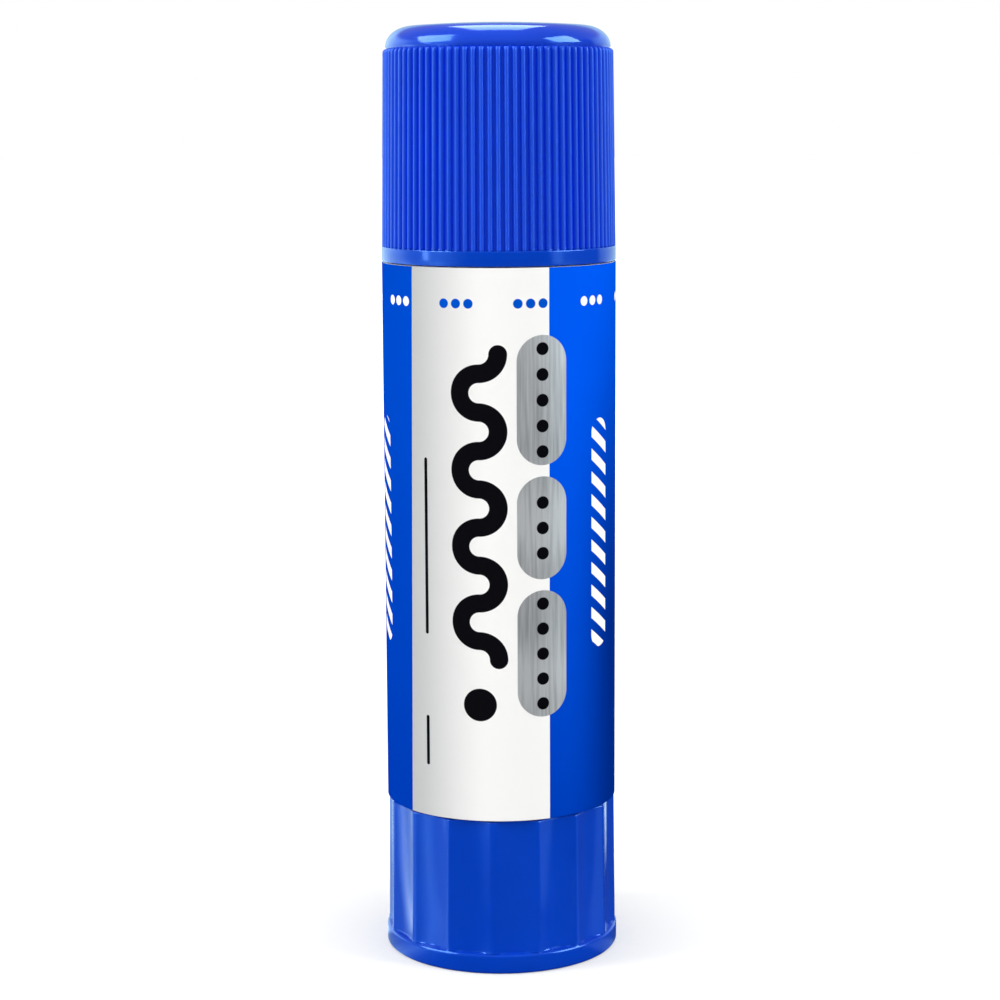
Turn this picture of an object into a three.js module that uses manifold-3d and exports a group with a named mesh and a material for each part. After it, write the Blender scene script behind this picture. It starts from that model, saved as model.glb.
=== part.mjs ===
// A twist-up glue stick, closed by its ribbed push-on cap and part used.
// The knob turns a left-hand screw, which feeds the glue up the bore on a carrier that cannot turn.
// Lengths are in millimetres. +Z runs up the stick and the origin is the middle of the ring it stands on.
// Angles start at the front, which is -Y, and run towards +X.

import * as THREE from 'three';
import { mergeVertices } from 'three/addons/utils/BufferGeometryUtils.js';
import Module from 'manifold-3d';

// Lengths along the stick
const KNOB_HEIGHT = 19.9;
const KNOB_GAP = 0.2;
const BODY_LENGTH = 69.9;
const NECK_LENGTH = 15.5;
const CAP_GAP = 0.25;
const CAP_HEIGHT = 29.75;

// Radii and walls, from the bore outwards
const BORE_RADIUS = 12.4;
const NECK_WALL = 0.95;
const NECK_DRAFT = 0.2;
const CAP_CLEARANCE = 0.25;
const CAP_WALL = 0.85;
const RIB_DEPTH = 0.5;
const LIP_STEP = 0.03;

// Cap
const LIP_HEIGHT = 1.75;
const LIP_EDGE = 0.25;
const RIB_COUNT = 88;
const RIB_TO_CORNER = 0.1;
const RIB_INSET = 0.03;
const CAP_DRAFT = 0.35;
const CAP_BORE_DRAFT = 0.33;
const CAP_CEILING = 2.0;
const CEILING_CORNER = 1.6;
const CROWN_CORNER_WIDTH = 3.55;
const CROWN_CORNER_HEIGHT = 2.7;
const CROWN_RISE = 0.5;

// Snap beads that hold the cap on the neck and the knob on the spigot
const CAP_BEAD_HEIGHT = 0.14;
const CAP_BEAD_LIFT = 0.7;
const CAP_BEAD_WIDTH = 0.9;
const BEAD_CLEARANCE = 0.12;
const KNOB_BEAD_HEIGHT = 0.35;
const KNOB_BEAD_LIFT = 1;
const KNOB_BEAD_WIDTH = 1.3;

// Barrel
const FLOOR_THICKNESS = 1.8;
const SPIGOT_LENGTH = 8;
const SPIGOT_WALL = 1.1;
const SPIGOT_CLEARANCE = 0.5;
const MOUTH_EDGE = 0.3;
const LEAD_IN = 0.5;
const KEY_COUNT = 4;
const KEY_WIDTH = 1.4;
const KEY_HEIGHT = 0.6;
const KEY_TO_MOUTH = 2.5;

// Label film
const LABEL_FILM = 0.12;
const LABEL_GAP = 0.06;
const LABEL_EDGE_GAP = 0.05;
const LAP_DEGREES = 12;
const LAP_RAMP_DEGREES = 4;
const LAP_GAP = 0.03;

// Knob
const FLANGE_PROUD = 0.25;
const FLANGE_HEIGHT = 2.57;
const FLANGE_FOOT_ROUND = 0.45;
const FLANGE_TOP_ROUND = 0.25;
const FLUTE_COUNT = 16;
const FLUTE_DEPTH = 0.45;
const FLUTE_START_DEGREES = -4.5;
const KNOB_DRAFT = 0.17;
const KNOB_TOP_EDGE = 0.2;
const KNOB_WALL = 1;
const KNOB_FLOOR = 1.6;
const FOOT_RECESS = 1.4;
const FOOT_RING_WIDTH = 2.2;
const BOSS_HEIGHT = 9;
const BOSS_WALL = 1.6;
const WEB_COUNT = 4;
const WEB_TO_SPIGOT = 3.3;
const WEB_THICKNESS = 1.2;

// Lead screw and its bearing in the barrel's floor
const SCREW_LEAD = 6;
const SCREW_ROOT_RADIUS = 3.1;
const THREAD_DEPTH = 0.9;
const THREAD_CREST_WIDTH = 1.4;
const THREAD_FLANK_WIDTH = 0.8;
const THREAD_CLEARANCE = 0.25;
const SCREW_BELOW_MOUTH = 3.5;
const SCREW_TIP_CHAMFER = 1;
const JOURNAL_STEP = 0.3;
const JOURNAL_CLEARANCE = 0.15;
const COLLAR_OVERHANG = 1.8;
const COLLAR_THICKNESS = 1.2;
const END_PLAY = 0.3;
const RETAINER_BEAD = 0.4;
const RETAINER_LENGTH = 1;
const SPLINE_COUNT = 8;
const SPLINE_RADIUS = 3.5;
const SPLINE_DEPTH = 0.5;
const SPLINE_CLEARANCE = 0.12;
const SPLINE_END_GAP = 0.8;
const FOOT_SEAT_GAP = 0.12;

// Carrier
const CARRIER_CLEARANCE = 0.2;
const CARRIER_WALL = 1.2;
const CARRIER_FLOOR = 1.5;
const SKIRT_DEPTH = 3;
const CUP_DEPTH = 5;
const NUT_WALL = 1.55;
const NUT_LENGTH = 8.3;
const NUT_LIFT = 1.7;
const KEY_CLEARANCE = 0.25;
const FIN_COUNT = 4;
const FIN_HEIGHT = 3;
const FIN_THICKNESS = 1;

// The glue that is left, level with the mouth, and how far the carrier can still rise
const RISE_LEFT = 12;
const TOP_STOP_BELOW_MOUTH = 0.8;
const GLUE_CLEARANCE = 0.1;
const GLUE_SEAT_GAP = 0.1;
const GLUE_HOLE_CLEARANCE = 0.3;
const GLUE_EDGE = 0.6;

// Facets
const OUTER_SIDES = 60;
const INNER_SIDES = 40;
const SHAFT_SIDES = 24;
const THREAD_STEPS = 16;
const FLUTE_STEPS = 6;
const CORNER_STEPS = 4;
const EDGE_STEPS = 2;
const MERGE_DISTANCE = 1e-4;
const OVERCUT = 1;

// Sections of a rib and of a spline, each point as its share of the pitch and its share of the height
const RIB_SECTION = [[-0.35, 0], [-0.22, 0.75], [0, 1], [0.22, 0.75], [0.35, 0]];
const SPLINE_SECTION = [[-0.38, 0], [-0.18, 1], [0.18, 1], [0.38, 0]];

// Levels up the stick
const knobFloorTop = FOOT_RECESS + KNOB_FLOOR;
const bossTop = knobFloorTop + BOSS_HEIGHT;
const barrelBottom = KNOB_HEIGHT + KNOB_GAP;
const floorTop = barrelBottom + FLOOR_THICKNESS;
const spigotBottom = barrelBottom - SPIGOT_LENGTH;
const shoulder = barrelBottom + BODY_LENGTH;
const mouth = shoulder + NECK_LENGTH;
const capBottom = shoulder + CAP_GAP;
const capTop = capBottom + CAP_HEIGHT;
const lipTop = capBottom + LIP_HEIGHT;
const cornerFoot = capTop - CROWN_RISE - CROWN_CORNER_HEIGHT;
const ribTop = cornerFoot - RIB_TO_CORNER;
const ceiling = capTop - CAP_CEILING;
const screwTop = mouth - SCREW_BELOW_MOUTH;
const carrierHeight = SKIRT_DEPTH + CARRIER_FLOOR + CUP_DEPTH;
const carrierBottom = mouth - TOP_STOP_BELOW_MOUTH - RISE_LEFT - carrierHeight;
const cupFloor = carrierBottom + SKIRT_DEPTH + CARRIER_FLOOR;
const cupRim = cupFloor + CUP_DEPTH;
const nutBottom = carrierBottom + NUT_LIFT;
const nutTop = nutBottom + NUT_LENGTH;

// Radii that follow from the bore
const neckRadius = BORE_RADIUS + NECK_WALL;
const capBore = neckRadius + CAP_CLEARANCE;
const ribValley = capBore + CAP_WALL;
const ribCrest = ribValley + RIB_DEPTH;
const lipRadius = ribCrest + LIP_STEP;
const labelRadius = lipRadius;
const barrelRadius = labelRadius - LABEL_FILM - LABEL_GAP;
const flangeRadius = labelRadius + FLANGE_PROUD;
const knobTopRadius = labelRadius;
const knobBore = knobTopRadius - FLUTE_DEPTH - KNOB_WALL;
const spigotRadius = knobBore - SPIGOT_CLEARANCE;
const spigotBore = spigotRadius - SPIGOT_WALL;
const screwCrest = SCREW_ROOT_RADIUS + THREAD_DEPTH;
const journalRadius = screwCrest + JOURNAL_STEP;
const collarRadius = journalRadius + COLLAR_OVERHANG;
const socketRadius = SPLINE_RADIUS + SPLINE_CLEARANCE;
const bossRadius = socketRadius + BOSS_WALL;
const nutRadius = screwCrest + THREAD_CLEARANCE + NUT_WALL;
const carrierRadius = BORE_RADIUS - CARRIER_CLEARANCE;
const cupBore = carrierRadius - CARRIER_WALL;

const wasm = await Module();
wasm.setup();

// A closed three.js geometry as a solid that can be joined and cut
function solidOf(geometry) {
  const bare = geometry.clone();
  bare.deleteAttribute('normal');
  bare.deleteAttribute('uv');
  const merged = mergeVertices(bare, MERGE_DISTANCE);
  const corners = merged.index.array;
  const faces = [];
  for (let i = 0; i < corners.length; i += 3) {
    const face = [corners[i], corners[i + 1], corners[i + 2]];
    if (new Set(face).size === 3) faces.push(...face);
  }
  return new wasm.Manifold(new wasm.Mesh({
    numProp: 3,
    vertProperties: new Float32Array(merged.attributes.position.array),
    triVerts: new Uint32Array(faces),
  }));
}

function geometryOf(solid) {
  const { vertProperties, triVerts } = solid.getMesh();
  const geometry = new THREE.BufferGeometry();
  geometry.setAttribute('position', new THREE.BufferAttribute(vertProperties, 3));
  geometry.setIndex(new THREE.BufferAttribute(triVerts, 1));
  geometry.computeVertexNormals();
  return geometry;
}

function onCircle(radius, angle, height) {
  return new THREE.Vector3(radius * Math.sin(angle), -radius * Math.cos(angle), height);
}

// A turned solid. The outline is [radius, height] points, up the outside and down the inside or the axis.
function revolve(outline, sides) {
  const points = [...outline, outline[0]].map(([radius, height]) => new THREE.Vector2(radius, height));
  return solidOf(new THREE.LatheGeometry(points, sides).rotateX(Math.PI / 2));
}

// Outline points on a quarter of an ellipse, from its side up to its top, or from its foot up to its side
function quarterRound(centreRadius, centreHeight, width, height, steps, fromFoot = false) {
  const points = [];
  for (let i = 0; i <= steps; i += 1) {
    const turn = (Math.PI / 2) * (i / steps - (fromFoot ? 1 : 0));
    points.push([centreRadius + width * Math.cos(turn), centreHeight + height * Math.sin(turn)]);
  }
  return points;
}

// A raised ring on a wall, as outline points from its foot to its head. A negative rise makes a groove.
function bead(radius, foot, width, rise) {
  return [
    [radius, foot],
    [radius + rise, foot + width / 3],
    [radius + rise, foot + (2 * width) / 3],
    [radius, foot + width],
  ];
}

// A solid through rings of points, lowest first, with flat ends
function loft(rings) {
  const count = rings[0].length;
  const foot = new THREE.Vector3(0, 0, rings[0][0].z);
  const head = new THREE.Vector3(0, 0, rings.at(-1)[0].z);
  const corners = [];
  for (let i = 0; i < count; i += 1) {
    const next = (i + 1) % count;
    corners.push(foot, rings[0][next], rings[0][i]);
    corners.push(head, rings.at(-1)[i], rings.at(-1)[next]);
    for (let k = 1; k < rings.length; k += 1) {
      const [below, above] = [rings[k - 1], rings[k]];
      corners.push(below[i], below[next], above[next]);
      corners.push(below[i], above[next], above[i]);
    }
  }
  return solidOf(new THREE.BufferGeometry().setFromPoints(corners));
}

// One ring of a pattern that repeats round the axis. Each repeat is [share of its pitch, radius] points.
function patternRing(repeats, startAngle, height, repeat) {
  const pitch = (2 * Math.PI) / repeats;
  const points = [];
  for (let n = 0; n < repeats; n += 1) {
    for (const [share, radius] of repeat) {
      points.push(onCircle(radius, startAngle + (n + share) * pitch, height));
    }
  }
  return points;
}

// A flat plate that stands on edge along a radius. Its outline is [radius, height] points.
function radialPlate(outline, thickness, angle) {
  const shape = new THREE.Shape(outline.map(([radius, height]) => new THREE.Vector2(radius, height)));
  const plate = new THREE.ExtrudeGeometry(shape, { depth: thickness, bevelEnabled: false });
  plate.translate(0, 0, -thickness / 2);
  plate.rotateX(Math.PI / 2);
  plate.rotateZ(angle - Math.PI / 2);
  return solidOf(plate);
}

function rectangle(inner, outer, low, high) {
  return [[inner, low], [outer, low], [outer, high], [inner, high]];
}

// Plates at equal angles, half a pitch off the front
function plateRing(count, outline, thickness) {
  const angles = Array.from({ length: count }, (_, n) => ((n + 0.5) * 2 * Math.PI) / count);
  return angles.map((angle) => radialPlate(outline, thickness, angle));
}

function joined(first, others) {
  return others.reduce((whole, piece) => whole.add(piece), first);
}

function cutBy(whole, tools) {
  return tools.reduce((rest, tool) => rest.subtract(tool), whole);
}

// A left-hand screw as one strip of skin that winds down the shaft. Each step of the strip crosses one
// pitch of the thread, and its upper edge is the lower edge of the turn above. Grow swells the whole thread.
function screwThread(low, high, grow) {
  const rootRadius = SCREW_ROOT_RADIUS + grow;
  const crestRadius = screwCrest + grow;
  const crestHalf = THREAD_CREST_WIDTH / 2 + grow;
  const rootHalf = crestHalf + THREAD_FLANK_WIDTH;
  const section = [
    [rootRadius, -rootHalf],
    [crestRadius, -crestHalf],
    [crestRadius, crestHalf],
    [rootRadius, rootHalf],
  ];
  const firstTurn = Math.ceil((high - screwTop) / SCREW_LEAD) + 1;
  const lastTurn = Math.floor((low - screwTop) / SCREW_LEAD) - 1;
  const steps = (firstTurn - lastTurn) * THREAD_STEPS;
  const point = (step, side) => {
    const [radius, lift] = section[side % section.length];
    const turn = step / THREAD_STEPS - (side === section.length ? 1 : 0);
    return onCircle(radius, turn * 2 * Math.PI, screwTop + (firstTurn - turn) * SCREW_LEAD + lift);
  };
  const corners = [];
  for (let step = 0; step < steps; step += 1) {
    for (let side = 0; side < section.length; side += 1) {
      const [here, next] = [point(step, side), point(step + 1, side)];
      const [hereUp, nextUp] = [point(step, side + 1), point(step + 1, side + 1)];
      corners.push(here, next, nextUp);
      corners.push(here, nextUp, hereUp);
    }
  }
  // The ends of the strip close onto the axis, past the stretch that is used
  const head = onCircle(0, 0, point(0, section.length).z);
  const foot = onCircle(0, 0, point(steps, 0).z);
  for (let step = 0; step < THREAD_STEPS; step += 1) {
    corners.push(head, point(step, section.length), point(step + 1, section.length));
    corners.push(foot, point(steps - step, 0), point(steps - step - 1, 0));
  }
  for (let side = 0; side < section.length; side += 1) {
    corners.push(head, point(0, side), point(0, side + 1));
    corners.push(foot, point(steps, side + 1), point(steps, side));
  }
  return solidOf(new THREE.BufferGeometry().setFromPoints(corners));
}

// Cap: a ribbed shell with a smooth lip. Its outside is made solid and then hollowed.
function makeCap() {
  const domeRadius = ribValley - CAP_DRAFT - RIB_INSET;
  const cornerCentre = domeRadius - CROWN_CORNER_WIDTH;
  const outside = revolve([
    [0, capBottom],
    [lipRadius - LIP_EDGE, capBottom],
    [lipRadius, capBottom + LIP_EDGE],
    [lipRadius, lipTop],
    [ribValley - RIB_INSET, lipTop],
    [domeRadius, ribTop],
    ...quarterRound(cornerCentre, cornerFoot, CROWN_CORNER_WIDTH, CROWN_CORNER_HEIGHT, CORNER_STEPS),
    [cornerCentre / 2, capTop - CROWN_RISE / 4],
    [0, capTop],
  ], OUTER_SIDES);
  const ribRing = (height, draft) => patternRing(
    RIB_COUNT,
    0,
    height,
    RIB_SECTION.map(([share, rise]) => [share, ribValley - draft + rise * RIB_DEPTH]),
  );
  const ribs = loft([ribRing(lipTop - LIP_EDGE, 0), ribRing(ribTop, CAP_DRAFT)]);
  const ceilingCentre = capBore - CAP_BORE_DRAFT - CEILING_CORNER;
  const hollow = revolve([
    [0, capBottom - OVERCUT],
    [capBore + LIP_EDGE, capBottom - OVERCUT],
    [capBore + LIP_EDGE, capBottom],
    [capBore, capBottom + LIP_EDGE],
    ...bead(capBore, shoulder + CAP_BEAD_LIFT, CAP_BEAD_WIDTH, BEAD_CLEARANCE),
    ...quarterRound(ceilingCentre, ceiling - CEILING_CORNER, CEILING_CORNER, CEILING_CORNER, CORNER_STEPS),
    [0, ceiling],
  ], INNER_SIDES);
  return outside.add(ribs).subtract(hollow);
}

// Barrel: neck, shoulder, body and spigot outside; keyed bore, floor and bearing hole inside
function makeBarrel() {
  const neckTop = neckRadius - NECK_DRAFT;
  const outside = revolve([
    [0, spigotBottom],
    [spigotRadius - LEAD_IN, spigotBottom],
    [spigotRadius, spigotBottom + LEAD_IN],
    ...bead(spigotRadius, spigotBottom + KNOB_BEAD_LIFT, KNOB_BEAD_WIDTH, KNOB_BEAD_HEIGHT),
    [spigotRadius, barrelBottom],
    [barrelRadius, barrelBottom],
    [barrelRadius, shoulder],
    [neckRadius, shoulder],
    ...bead(neckRadius, shoulder + CAP_BEAD_LIFT, CAP_BEAD_WIDTH, CAP_BEAD_HEIGHT),
    ...quarterRound(neckTop - MOUTH_EDGE, mouth - MOUTH_EDGE, MOUTH_EDGE, MOUTH_EDGE, EDGE_STEPS),
    [0, mouth],
  ], OUTER_SIDES);
  const bore = revolve([
    [0, floorTop],
    [BORE_RADIUS, floorTop],
    [BORE_RADIUS, mouth - MOUTH_EDGE],
    [BORE_RADIUS + MOUTH_EDGE, mouth],
    [BORE_RADIUS + MOUTH_EDGE, mouth + OVERCUT],
    [0, mouth + OVERCUT],
  ], INNER_SIDES);
  const spigotHollow = revolve(
    rectangle(0, spigotBore, spigotBottom - OVERCUT, barrelBottom),
    INNER_SIDES,
  );
  const bearingHole = revolve(
    rectangle(0, journalRadius + JOURNAL_CLEARANCE, barrelBottom - OVERCUT, floorTop + OVERCUT),
    SHAFT_SIDES,
  );
  const keyTop = mouth - KEY_TO_MOUTH;
  const keyFoot = floorTop - FLOOR_THICKNESS / 2;
  const keyOutline = [
    [BORE_RADIUS - KEY_HEIGHT, keyFoot],
    [BORE_RADIUS + NECK_WALL / 2, keyFoot],
    [BORE_RADIUS + NECK_WALL / 2, keyTop],
    [BORE_RADIUS - KEY_HEIGHT, keyTop - KEY_HEIGHT],
  ];
  const tube = cutBy(outside, [bore, spigotHollow, bearingHole]);
  return joined(tube, plateRing(KEY_COUNT, keyOutline, KEY_WIDTH));
}

// Label: one turn of film, drawn as a spiral whose end laps over its start at the back
function makeLabel() {
  const innerRadius = barrelRadius + LABEL_GAP;
  const lapRise = LABEL_FILM + LAP_GAP;
  const lapStart = 180;
  const rampEnd = lapStart + 360 - LAP_RAMP_DEGREES / 4;
  const rampStart = rampEnd - LAP_RAMP_DEGREES;
  const filmEnd = lapStart + 360 + LAP_DEGREES;
  const sides = OUTER_SIDES - 2;
  const path = [
    ...Array.from({ length: sides + 1 }, (_, n) => [lapStart + ((rampStart - lapStart) * n) / sides, 0]),
    [rampEnd, lapRise],
    [(rampEnd + filmEnd) / 2, lapRise],
    [filmEnd, lapRise],
  ];
  const edge = (radius) => path.map(([degrees, rise]) => {
    const at = onCircle(radius + rise, THREE.MathUtils.degToRad(degrees), 0);
    return new THREE.Vector2(at.x, at.y);
  });
  const outline = new THREE.Shape([...edge(innerRadius + LABEL_FILM), ...edge(innerRadius).reverse()]);
  const length = BODY_LENGTH - 2 * LABEL_EDGE_GAP;
  const film = new THREE.ExtrudeGeometry(outline, { depth: length, bevelEnabled: false });
  film.translate(0, 0, barrelBottom + LABEL_EDGE_GAP);
  return solidOf(film);
}

// Twist knob: a fluted cup on a flange, with a foot ring below and the screw's splined socket inside
function makeKnob() {
  const footCentre = flangeRadius - FLANGE_FOOT_ROUND;
  const topCentre = flangeRadius - FLANGE_TOP_ROUND;
  const topRound = FLANGE_HEIGHT - FLANGE_TOP_ROUND;
  const outside = revolve([
    [0, 0],
    ...quarterRound(footCentre, FLANGE_FOOT_ROUND, FLANGE_FOOT_ROUND, FLANGE_FOOT_ROUND, CORNER_STEPS, true),
    ...quarterRound(topCentre, topRound, FLANGE_TOP_ROUND, FLANGE_TOP_ROUND, EDGE_STEPS),
    [0, FLANGE_HEIGHT],
  ], OUTER_SIDES);
  const fluteRing = (height, crest) => {
    const flute = [];
    for (let step = 0; step < FLUTE_STEPS; step += 1) {
      const across = (2 * step) / FLUTE_STEPS - 1;
      flute.push([step / FLUTE_STEPS, crest - FLUTE_DEPTH * (1 - across * across)]);
    }
    return patternRing(FLUTE_COUNT, THREE.MathUtils.degToRad(FLUTE_START_DEGREES), height, flute);
  };
  const flutes = loft([
    fluteRing(FLANGE_HEIGHT - FLANGE_TOP_ROUND * 2, knobTopRadius + KNOB_DRAFT),
    fluteRing(KNOB_HEIGHT - KNOB_TOP_EDGE, knobTopRadius),
    fluteRing(KNOB_HEIGHT, knobTopRadius - KNOB_TOP_EDGE),
  ]);
  // The ring inside the wall snaps in above the spigot's bead
  const snapFoot = spigotBottom + KNOB_BEAD_LIFT + KNOB_BEAD_WIDTH + END_PLAY;
  const snapRise = BEAD_CLEARANCE - SPIGOT_CLEARANCE;
  const hollow = revolve([
    [0, knobFloorTop],
    [knobBore, knobFloorTop],
    ...bead(knobBore, snapFoot, KNOB_BEAD_WIDTH, snapRise),
    [knobBore, KNOB_HEIGHT - LEAD_IN],
    [knobBore + LEAD_IN / 2, KNOB_HEIGHT],
    [knobBore + LEAD_IN / 2, KNOB_HEIGHT + OVERCUT],
    [0, KNOB_HEIGHT + OVERCUT],
  ], INNER_SIDES);
  const footRecess = revolve(
    rectangle(0, footCentre - FOOT_RING_WIDTH, -OVERCUT, FOOT_RECESS),
    INNER_SIDES,
  );
  const webFoot = knobFloorTop - KNOB_FLOOR / 2;
  const boss = revolve(rectangle(0, bossRadius, webFoot, bossTop), SHAFT_SIDES);
  const webs = plateRing(
    WEB_COUNT,
    rectangle(socketRadius + BOSS_WALL / 2, knobBore + KNOB_WALL / 2, webFoot, spigotBottom - WEB_TO_SPIGOT),
    WEB_THICKNESS,
  );
  const socket = splinedBar(knobFloorTop, bossTop + OVERCUT, SPLINE_CLEARANCE);
  const cup = outside.add(flutes).subtract(hollow).subtract(footRecess);
  return joined(cup, [boss, ...webs]).subtract(socket);
}

// A bar with eight splines. Grow makes it the tool that cuts the socket.
function splinedBar(low, high, grow) {
  const root = SPLINE_RADIUS - SPLINE_DEPTH + grow;
  const spline = SPLINE_SECTION.map(([share, rise]) => [share, root + rise * SPLINE_DEPTH]);
  return loft([low, high].map((height) => patternRing(SPLINE_COUNT, 0, height, spline)));
}

// Spindle: splined foot, thrust collar, journal with its retaining bead, and the lead screw
function makeSpindle() {
  const footBottom = knobFloorTop + SPLINE_END_GAP;
  const footTop = bossTop + FOOT_SEAT_GAP;
  const collarTop = barrelBottom - END_PLAY;
  const beadFoot = floorTop + END_PLAY;
  const threadFoot = beadFoot + RETAINER_LENGTH;
  const shank = revolve([
    [0, footTop],
    [bossRadius, footTop],
    [bossRadius, footTop + COLLAR_THICKNESS],
    [journalRadius, footTop + COLLAR_THICKNESS],
    [journalRadius, collarTop - COLLAR_THICKNESS],
    [collarRadius, collarTop - COLLAR_THICKNESS],
    [collarRadius, collarTop],
    [journalRadius, collarTop],
    [journalRadius, beadFoot],
    [journalRadius + RETAINER_BEAD, beadFoot],
    [journalRadius, threadFoot],
    [0, threadFoot],
  ], SHAFT_SIDES);
  const envelope = revolve([
    [0, beadFoot],
    [screwCrest + OVERCUT, beadFoot],
    [screwCrest + OVERCUT, screwTop - SCREW_TIP_CHAMFER - OVERCUT],
    [SCREW_ROOT_RADIUS - SCREW_TIP_CHAMFER, screwTop],
    [0, screwTop],
  ], SHAFT_SIDES);
  const screw = screwThread(beadFoot, screwTop, 0).intersect(envelope);
  return joined(splinedBar(footBottom, footTop + COLLAR_THICKNESS / 2, 0), [shank, screw]);
}

// Glue carrier: a cup over a guiding skirt, notched for the keys, with the nut through its middle
function makeCarrier() {
  const body = revolve([
    [0, carrierBottom + SKIRT_DEPTH],
    [cupBore, carrierBottom + SKIRT_DEPTH],
    [cupBore, carrierBottom],
    [carrierRadius, carrierBottom],
    [carrierRadius, cupRim],
    [cupBore, cupRim],
    [cupBore, cupFloor],
    [0, cupFloor],
  ], INNER_SIDES);
  const nut = revolve(rectangle(0, nutRadius, nutBottom, nutTop), SHAFT_SIDES);
  const fins = plateRing(FIN_COUNT, finOutline(0), FIN_THICKNESS);
  const notchRadius = BORE_RADIUS - KEY_HEIGHT - KEY_CLEARANCE;
  const notches = plateRing(
    KEY_COUNT,
    rectangle(notchRadius, BORE_RADIUS + OVERCUT, carrierBottom - OVERCUT, cupRim + OVERCUT),
    KEY_WIDTH + 2 * KEY_CLEARANCE,
  );
  const thread = screwThread(nutBottom - OVERCUT, nutTop + OVERCUT, THREAD_CLEARANCE);
  const threadZone = revolve(
    rectangle(0, nutRadius - NUT_WALL / 2, nutBottom - OVERCUT, nutTop + OVERCUT),
    SHAFT_SIDES,
  );
  return cutBy(joined(body, [nut, ...fins]), [...notches, thread.intersect(threadZone)]);
}

// The fins stand on the cup's floor and key the cast glue to the carrier
function finOutline(grow) {
  const foot = cupFloor - CARRIER_FLOOR / 2;
  return rectangle(nutRadius - NUT_WALL / 2, cupBore + CARRIER_WALL / 4, foot, cupFloor + FIN_HEIGHT + grow);
}

// Glue: fills the cup and the bore up to the mouth, with the screw's hole down its middle
function makeGlue() {
  const glueRadius = BORE_RADIUS - GLUE_CLEARANCE;
  const glueBottom = cupFloor + GLUE_SEAT_GAP;
  const stick = revolve([
    [nutRadius + GLUE_SEAT_GAP, glueBottom],
    [cupBore - GLUE_SEAT_GAP, glueBottom],
    [cupBore - GLUE_SEAT_GAP, cupRim + GLUE_SEAT_GAP],
    [glueRadius, cupRim + GLUE_SEAT_GAP],
    [glueRadius, mouth - GLUE_EDGE],
    [glueRadius - GLUE_EDGE, mouth],
    [screwCrest + GLUE_HOLE_CLEARANCE, mouth],
    [screwCrest + GLUE_HOLE_CLEARANCE, nutTop + GLUE_SEAT_GAP],
    [nutRadius + GLUE_SEAT_GAP, nutTop + GLUE_SEAT_GAP],
  ], INNER_SIDES);
  const grooves = plateRing(
    KEY_COUNT,
    rectangle(BORE_RADIUS - KEY_HEIGHT - GLUE_CLEARANCE, BORE_RADIUS + OVERCUT, cupRim, mouth + OVERCUT),
    KEY_WIDTH + 2 * GLUE_CLEARANCE,
  );
  const finSlots = plateRing(FIN_COUNT, finOutline(GLUE_SEAT_GAP), FIN_THICKNESS + 2 * GLUE_SEAT_GAP);
  return cutBy(stick, [...grooves, ...finSlots]);
}

const bluePlastic = { color: 0x1546c6, roughness: 0.34, metalness: 0 };
const whitePlastic = { color: 0xf1f2f0, roughness: 0.42, metalness: 0 };
const labelPrint = { color: 0x0b5aea, roughness: 0.3, metalness: 0 };
const gluePaste = { color: 0xf4f3ea, roughness: 0.55, metalness: 0 };

function addPiece(group, name, solid, look) {
  const mesh = new THREE.Mesh(geometryOf(solid), new THREE.MeshStandardMaterial(look));
  mesh.name = name;
  group.add(mesh);
}

const glueStick = new THREE.Group();
addPiece(glueStick, 'cap', makeCap(), bluePlastic);
addPiece(glueStick, 'barrel', makeBarrel(), whitePlastic);
addPiece(glueStick, 'label', makeLabel(), labelPrint);
addPiece(glueStick, 'twist_knob', makeKnob(), bluePlastic);
addPiece(glueStick, 'spindle', makeSpindle(), whitePlastic);
addPiece(glueStick, 'glue_carrier', makeCarrier(), whitePlastic);
addPiece(glueStick, 'glue', makeGlue(), gluePaste);

export default glueStick;
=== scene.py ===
# A twist-up glue stick, closed by its cap, standing on a pale floor.
# Lengths are in millimetres until a piece gets its real size. Angles start at the front and run right.

import math

import bmesh
import bpy
import numpy as np
from mathutils import Matrix, Vector, noise


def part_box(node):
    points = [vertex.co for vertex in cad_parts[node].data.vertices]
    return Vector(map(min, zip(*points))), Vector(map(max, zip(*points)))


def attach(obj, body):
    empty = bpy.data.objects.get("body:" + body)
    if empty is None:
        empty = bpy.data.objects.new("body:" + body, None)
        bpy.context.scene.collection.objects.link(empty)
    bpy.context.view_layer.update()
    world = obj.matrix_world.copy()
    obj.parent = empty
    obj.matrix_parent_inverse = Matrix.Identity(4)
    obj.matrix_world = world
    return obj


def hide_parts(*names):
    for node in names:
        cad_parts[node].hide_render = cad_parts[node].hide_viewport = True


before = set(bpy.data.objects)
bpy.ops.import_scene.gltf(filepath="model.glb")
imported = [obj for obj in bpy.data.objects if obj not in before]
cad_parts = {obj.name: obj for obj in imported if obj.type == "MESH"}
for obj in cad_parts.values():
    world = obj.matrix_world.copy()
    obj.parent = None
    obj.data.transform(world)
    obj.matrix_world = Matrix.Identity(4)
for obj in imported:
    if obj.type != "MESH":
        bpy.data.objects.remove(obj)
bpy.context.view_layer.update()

# Barrel: one white polypropylene moulding. It is the bored tube that the glue runs in, with the neck for
# the cap above, a floor with the screw's bearing hole below, and under that the spigot that the knob
# snaps over. Four keys run up the bore and keep the glue carrier from turning.

TO_METRES = 0.001
FULL_TURN = 2 * math.pi
AROUND = 288
EDGE_STEPS = 5
BEAD_STEPS = 10
SHARP_ANGLE = math.radians(38)


def cad_levels(node):
    """Lowest level, highest level and half width of a piece, in millimetres."""
    low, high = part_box(node)
    return low.z / TO_METRES, high.z / TO_METRES, high.x / TO_METRES


def even_angles(count):
    return np.arange(count) * FULL_TURN / count


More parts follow.
